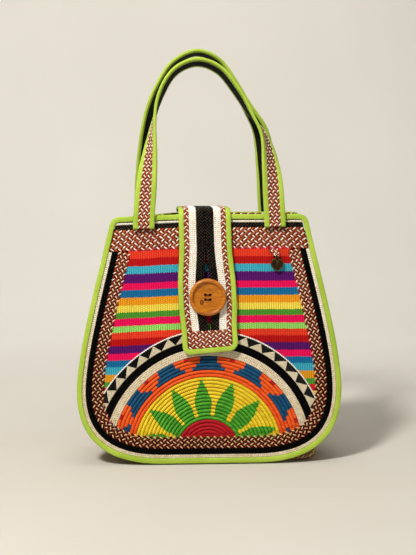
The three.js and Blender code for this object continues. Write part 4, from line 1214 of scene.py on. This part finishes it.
def buttonPiece():
    b = button
    radius, back, face = b["radius"], b["back"], b["back"] + b["thickness"]
    dish, rimInner = face - b["dish"], radius - b["rim"]
    profile = [(0, back), (radius - 5, back), (radius - 3.0, back + 0.25), (radius - 1.2, back + 1.1),
               (radius - 0.25, back + 2.2), (radius, back + 3.2), (radius - 0.2, back + 4.2),
               (radius - 0.8, face - 0.7), (radius - 1.5, face - 0.2), (radius - 2.3, face),
               (radius - 3.0, face - 0.12), (radius - 3.6, face - 0.5), (rimInner + 0.25, face - 1.2),
               (rimInner, dish + 0.7), (rimInner - 0.4, dish + 0.12), (rimInner - 1.2, dish), (0, dish + 0.25)]
    bm = bmesh.new()
    verts = [bm.verts.new((r, 0, d)) for r, d in profile]
    edges = [bm.edges.new(pair) for pair in zip(verts, verts[1:])]
    bmesh.ops.spin(bm, geom=verts + edges, cent=(0, 0, 0), axis=(0, 0, 1), angle=2 * math.pi, steps=96, use_merge=True)
    bmesh.ops.remove_doubles(bm, verts=bm.verts, dist=1e-4)
    bmesh.ops.recalc_face_normals(bm, faces=bm.faces)
    body = placed("blank", meshOf("blank", bm))
    bm = bmesh.new()
    half = b["holeSpacing"] / 2
    for x in (-half, half):
        for y in (-half, half):
            made = bmesh.ops.create_cone(bm, cap_ends=True, segments=24, radius1=b["holeRadius"],
                                         radius2=b["holeRadius"], depth=20)["verts"]
            bmesh.ops.translate(bm, vec=(x, y, back + 3), verts=made)
    bit = placed("drill", meshOf("drill", bm))
    cut = body.modifiers.new("holes", "BOOLEAN")
    cut.object, cut.operation, cut.solver = bit, "DIFFERENCE", "EXACT"
    done = bpy.data.meshes.new_from_object(body.evaluated_get(bpy.context.evaluated_depsgraph_get()))
    for o in (body, bit):
        bpy.data.objects.remove(o)
    bm = bmesh.new()
    bm.from_mesh(done)
    smoothAll(bm)
    bm.transform(onButton())
    finishPiece("buttonWood", bm, [woodFinish()], "bag", "button_wood", ["button"], sharp=38)
    print("button turned and drilled")


def roundTube(steps, around, place):  # closed tube; place takes the share along and the turn
    bm = unitGrid(steps, around, 8, 4)
    for v in bm.verts:
        v.co = place(v.co.x, 2 * math.pi * v.co.y)
    bmesh.ops.remove_doubles(bm, verts=bm.verts, dist=1e-4)
    bmesh.ops.holes_fill(bm, edges=[e for e in bm.edges if e.is_boundary])
    bmesh.ops.recalc_face_normals(bm, faces=bm.faces)
    return bm


def joined(bm, more):
    mesh = meshOf("more", more)
    bm.from_mesh(mesh)
    bpy.data.meshes.remove(mesh)
    return bm


def threadPiece():  # a wound shank under the button and two bars of thread across its holes
    b = button
    def shank(share, turn):
        r = 2.1 + 0.22 * math.sin(share * 60 + turn) + 2.4 * smoothStep(share, 0.88, 1.0)
        return Vector((r * math.cos(turn), r * math.sin(turn), mix(1.8, b["back"] - 0.1, share)))
    bm = roundTube(30, 24, shank)
    half, dish = b["holeSpacing"] / 2, b["back"] + b["thickness"] - b["dish"]
    for y in (-half, half):
        for k in (-1, 0, 1):
            def bar(share, turn):
                x = (share - 0.5) * (b["holeSpacing"] + 0.9)
                end = abs(share - 0.5) * 2
                rise = dish + 0.4 + 0.3 * (1 - end ** 2) - 3.2 * smoothStep(end, 0.3, 0.75)
                return Vector((x, y + k * 0.5 + 0.36 * math.cos(turn), rise + 0.36 * math.sin(turn)))
            joined(bm, roundTube(14, 8, bar))
    bm.transform(onButton())
    finishPiece("buttonThread", bm, [threadFinish], "bag", "brown_thread", ["button_thread"])


buttonPiece()
threadPiece()

# Charm: plaited tab under the top braid, a jump ring and a heart with a raised rim
charm = {
    "x": 73.0, "tabTop": 229.5, "tabLength": 8.0, "tabHalf": 5.5, "tipHalf": 2.7, "skew": 4.0, "slope": 0.55,
    "tabInner": 1.9, "depth": 5.78, "ringRadius": 2.7, "wire": 0.55, "ring": 221.2,
    "heartEye": 218.5, "bail": 2.4, "bailHole": 1.3, "bailWire": 0.62, "notch": 216.4, "tip": 205.15, "lobe": 3.5,
    "thickness": 1.6,
}


def brassFinish():
    made, tree, shader, place = newFinish("antiqueBrass", Metallic=0.85)
    patina = plainNoise(tree, place.outputs["Object"], 420.0, 5.0, 0.65)
    fine = plainNoise(tree, place.outputs["Object"], 1500.0, 3.0)
    tone = blendColour(tree, ranged(tree, patina, 0.38, 0.62, 0.0, 1.0), linear("1c140c"), linear("55401f"))
    edge = node(tree, "NewGeometry").outputs["Pointiness"]
    tone = blendColour(tree, ranged(tree, edge, 0.52, 0.62, 0.0, 0.7), tone, linear("b08a50"))
    dress(tree, shader, tone,
          ranged(tree, patina, 0.35, 0.65, 0.55, 0.32), 0.25, 0.0003, plus(tree, patina, fine))
    return made


brass = brassFinish()


def tabLay(s, t, out):
    h = charm["tabTop"] - charm["tabLength"] / 2 + t
    share = (charm["tabTop"] - h) / charm["tabLength"]
    x = charm["x"] - charm["skew"] * (1 - share) + s * mix(charm["tabHalf"], charm["tipHalf"], share) / charm["tabHalf"]
    return panelPoint("front", x, h, charm["tabInner"] + charm["slope"] * (charm["tabTop"] - h) + out)


def heartOutline(count):  # from the notch round the right lobe, the tip and the left lobe
    c = charm
    near, far = c["x"] + 2 * c["lobe"], c["x"] - 2 * c["lobe"]
    notch, tip, lobe = c["notch"], c["tip"], c["lobe"]
    quarter = count // 4
    def quad(*places):
        return arc(*[Vector(place) for place in places], quarter)[:-1]
    right = interpolate_bezier((c["x"], notch), (c["x"], notch + lobe), (near, notch + lobe), (near, notch - lobe),
                               quarter + 1)
    left = interpolate_bezier((far, notch - lobe), (far, notch + lobe), (c["x"], notch + lobe), (c["x"], notch),
                              quarter + 1)
    return ([v.to_2d() for v in right[:-1]] + quad((near, notch - lobe), (near, tip + lobe), (c["x"], tip))
            + quad((c["x"], tip), (far, tip + lobe), (far, notch - lobe)) + [v.to_2d() for v in left[:-1]])


def wireRing(radius, wire, segments, steps):  # lying flat round the origin
    bm = bmesh.new()
    made = bmesh.ops.create_circle(bm, segments=segments, radius=wire)["verts"]
    bmesh.ops.rotate(bm, cent=(0, 0, 0), matrix=Matrix.Rotation(math.pi / 2, 3, "X"), verts=made)
    bmesh.ops.translate(bm, vec=(radius, 0, 0), verts=made)
    bmesh.ops.spin(bm, geom=bm.verts[:] + bm.edges[:], cent=(0, 0, 0), axis=(0, 0, 1), angle=2 * math.pi, steps=steps,
                   use_merge=True)
    bmesh.ops.remove_doubles(bm, verts=bm.verts, dist=1e-4)
    return bm


def charmPieces():
    c = charm
    half = c["tabLength"] / 2
    tabWeave = {"step": 2.6, "angle": 41, "length": 3.4, "width": 1.8, "height": 0.75}
    braidPiece("charmTab", tabLay, (-c["tabHalf"], c["tabHalf"]), (-half, half), (0.0, 0.7), (12, 12), 4, tabWeave,
               [(0.5, False)], redColours, redFinishes, "red_plait", ["charm_tab"], ends=0.3)

    def flat(x, h, out):  # the charm hangs straight, so the panel's swell is left out
        y = -panel["depthBase"] / 2 - out * leanCos + h * leanSin
        return Vector((x, y, panel["lift"] + out * leanSin + h * leanCos)) * mm
    bm = wireRing(c["ringRadius"], c["wire"], 14, 40)
    for v in bm.verts:  # the ring stands across the panel
        v.co = flat(c["x"] + v.co.z, c["ring"] + v.co.y, c["depth"] + v.co.x)
    bmesh.ops.recalc_face_normals(bm, faces=bm.faces)
    smoothAll(bm)
    finishPiece("charmRing", bm, [brass], "ring", "antique_brass", ["charm_ring"])

    bm = bmesh.new()
    outline = heartOutline(64)
    made = bmesh.ops.create_circle(bm, segments=len(outline), radius=1.0, cap_ends=True)["verts"]
    for v, p in zip(made, outline):
        v.co = Vector((p.x, p.y, 0.0))
    bmesh.ops.solidify(bm, geom=bm.faces[:], thickness=c["thickness"])
    base = min(v.co.z for v in bm.verts)
    bmesh.ops.translate(bm, vec=(0, 0, c["depth"] - c["thickness"] / 2 - base), verts=bm.verts)
    bmesh.ops.recalc_face_normals(bm, faces=bm.faces)
    faces = [f for f in bm.faces if len(f.verts) > 4]
    rims = list({e for f in faces for e in f.edges})
    bmesh.ops.bevel(bm, geom=rims, offset=0.35, offset_type="OFFSET", segments=2, profile=0.5, affect="EDGES",
                    material=-1)
    for face in [f for f in bm.faces if len(f.verts) > 12]:  # a raised rim round a shallow field
        bmesh.ops.inset_region(bm, faces=[face], thickness=0.75, depth=0.0)
        bmesh.ops.inset_region(bm, faces=[face], thickness=0.2, depth=-0.35)
    bail = wireRing((c["bail"] + c["bailHole"]) / 2, c["bailWire"], 10, 32)
    bmesh.ops.recalc_face_normals(bail, faces=bail.faces)
    bmesh.ops.translate(bail, vec=(c["x"], c["heartEye"], c["depth"]), verts=bail.verts)
    joined(bm, bail)
    smoothAll(bm)
    for v in bm.verts:
        v.co = flat(*v.co)
    finishPiece("charmHeart", bm, [brass], "heart", "antique_brass", ["charm_heart"], sharp=35)


charmPieces()
print("charm hung")


# Floor and backdrop in one sweep, soft studio light and the camera
studio = {
    "floorHalf": 2.2, "near": -2.2, "bendAt": 0.75, "bendRadius": 0.6, "wallTop": 2.6,
    "floor": "c8c2b6", "wall": "efebe2",
}
view = {"eye": (-0.0681, -1.3, 0.327), "pitch": 0.55, "yaw": 3.0, "lens": 76.2, "shift": -0.192}


def backdrop():
    bm = bmesh.new()
    bmesh.ops.create_grid(bm, x_segments=2, y_segments=48, size=0.5)
    b = studio
    straight, curve, wall = b["bendAt"] - b["near"], b["bendRadius"] * math.pi / 2, b["wallTop"] - b["bendRadius"]
    for v in bm.verts:
        run = (v.co.y + 0.5) * (straight + curve + wall)
        x = v.co.x * 2 * b["floorHalf"]
        if run < straight:
            v.co = Vector((x, b["near"] + run, 0.0))
        elif run < straight + curve:
            turn = (run - straight) / b["bendRadius"]
            v.co = Vector((x, b["bendAt"] + b["bendRadius"] * math.sin(turn), b["bendRadius"] * (1 - math.cos(turn))))
        else:
            v.co = Vector((x, b["bendAt"] + b["bendRadius"], b["bendRadius"] + run - straight - curve))
    smoothAll(bm)
    made, tree, shader, place = newFinish("backdropPaper", Roughness=0.95)
    cloud = plainNoise(tree, place.outputs["Object"], 1.6, 3.0)
    away = node(tree, "SeparateXYZ", Vector=place.outputs["Object"]).outputs[1]
    share = plus(tree, ranged(tree, away, 0.1, 0.8, 0.0, 0.9), ranged(tree, cloud, 0.3, 0.7, -0.1, 0.1))
    tree.links.new(blendColour(tree, share, linear(b["floor"]), linear(b["wall"])), shader.inputs["Base Color"])
    mesh = meshOf("backdrop", bm)
    mesh.materials.append(made)
    sheet = placed("backdrop", mesh)


def lamp(name, place, aim, size, power, colour=(1.0, 0.985, 0.96)):
    data = bpy.data.lights.new(name, "AREA")
    data.shape, data.size, data.energy, data.color = "DISK", size, power, colour
    made = placed(name, data)
    made.location = place
    made.rotation_euler = (Vector(aim) - Vector(place)).to_track_quat("-Z", "Y").to_euler()


backdrop()
lamp("keyLamp", (-0.65, -1.05, 1.45), (0, 0, 0.2), 0.26, 34.0)
lamp("fillLamp", (1.2, -1.5, 0.6), (0, 0, 0.2), 1.2, 2.8)
lamp("topLamp", (0.1, 0.2, 1.7), (0, 0.1, 0.2), 1.0, 2.5)
lamp("wallLamp", (0.0, -0.2, 1.9), (0, 1.2, 0.35), 1.4, 10.0)
world = bpy.data.worlds.new("studioAir")
world.use_nodes = True
world.node_tree.nodes["Background"].inputs["Color"].default_value = (0.95, 0.93, 0.9, 1.0)
world.node_tree.nodes["Background"].inputs["Strength"].default_value = 0.11
scene.world = world

cameraData = bpy.data.cameras.new("camera")
cameraData.lens, cameraData.sensor_width = view["lens"], 36.0
cameraData.shift_y, cameraData.clip_start = view["shift"], 0.05
camera = placed("camera", cameraData)
camera.location = view["eye"]
camera.rotation_euler = (math.radians(90 - view["pitch"]), 0, math.radians(-view["yaw"]))
scene.camera = camera
print("studio ready")

bpy.data.meshes.remove(strand)
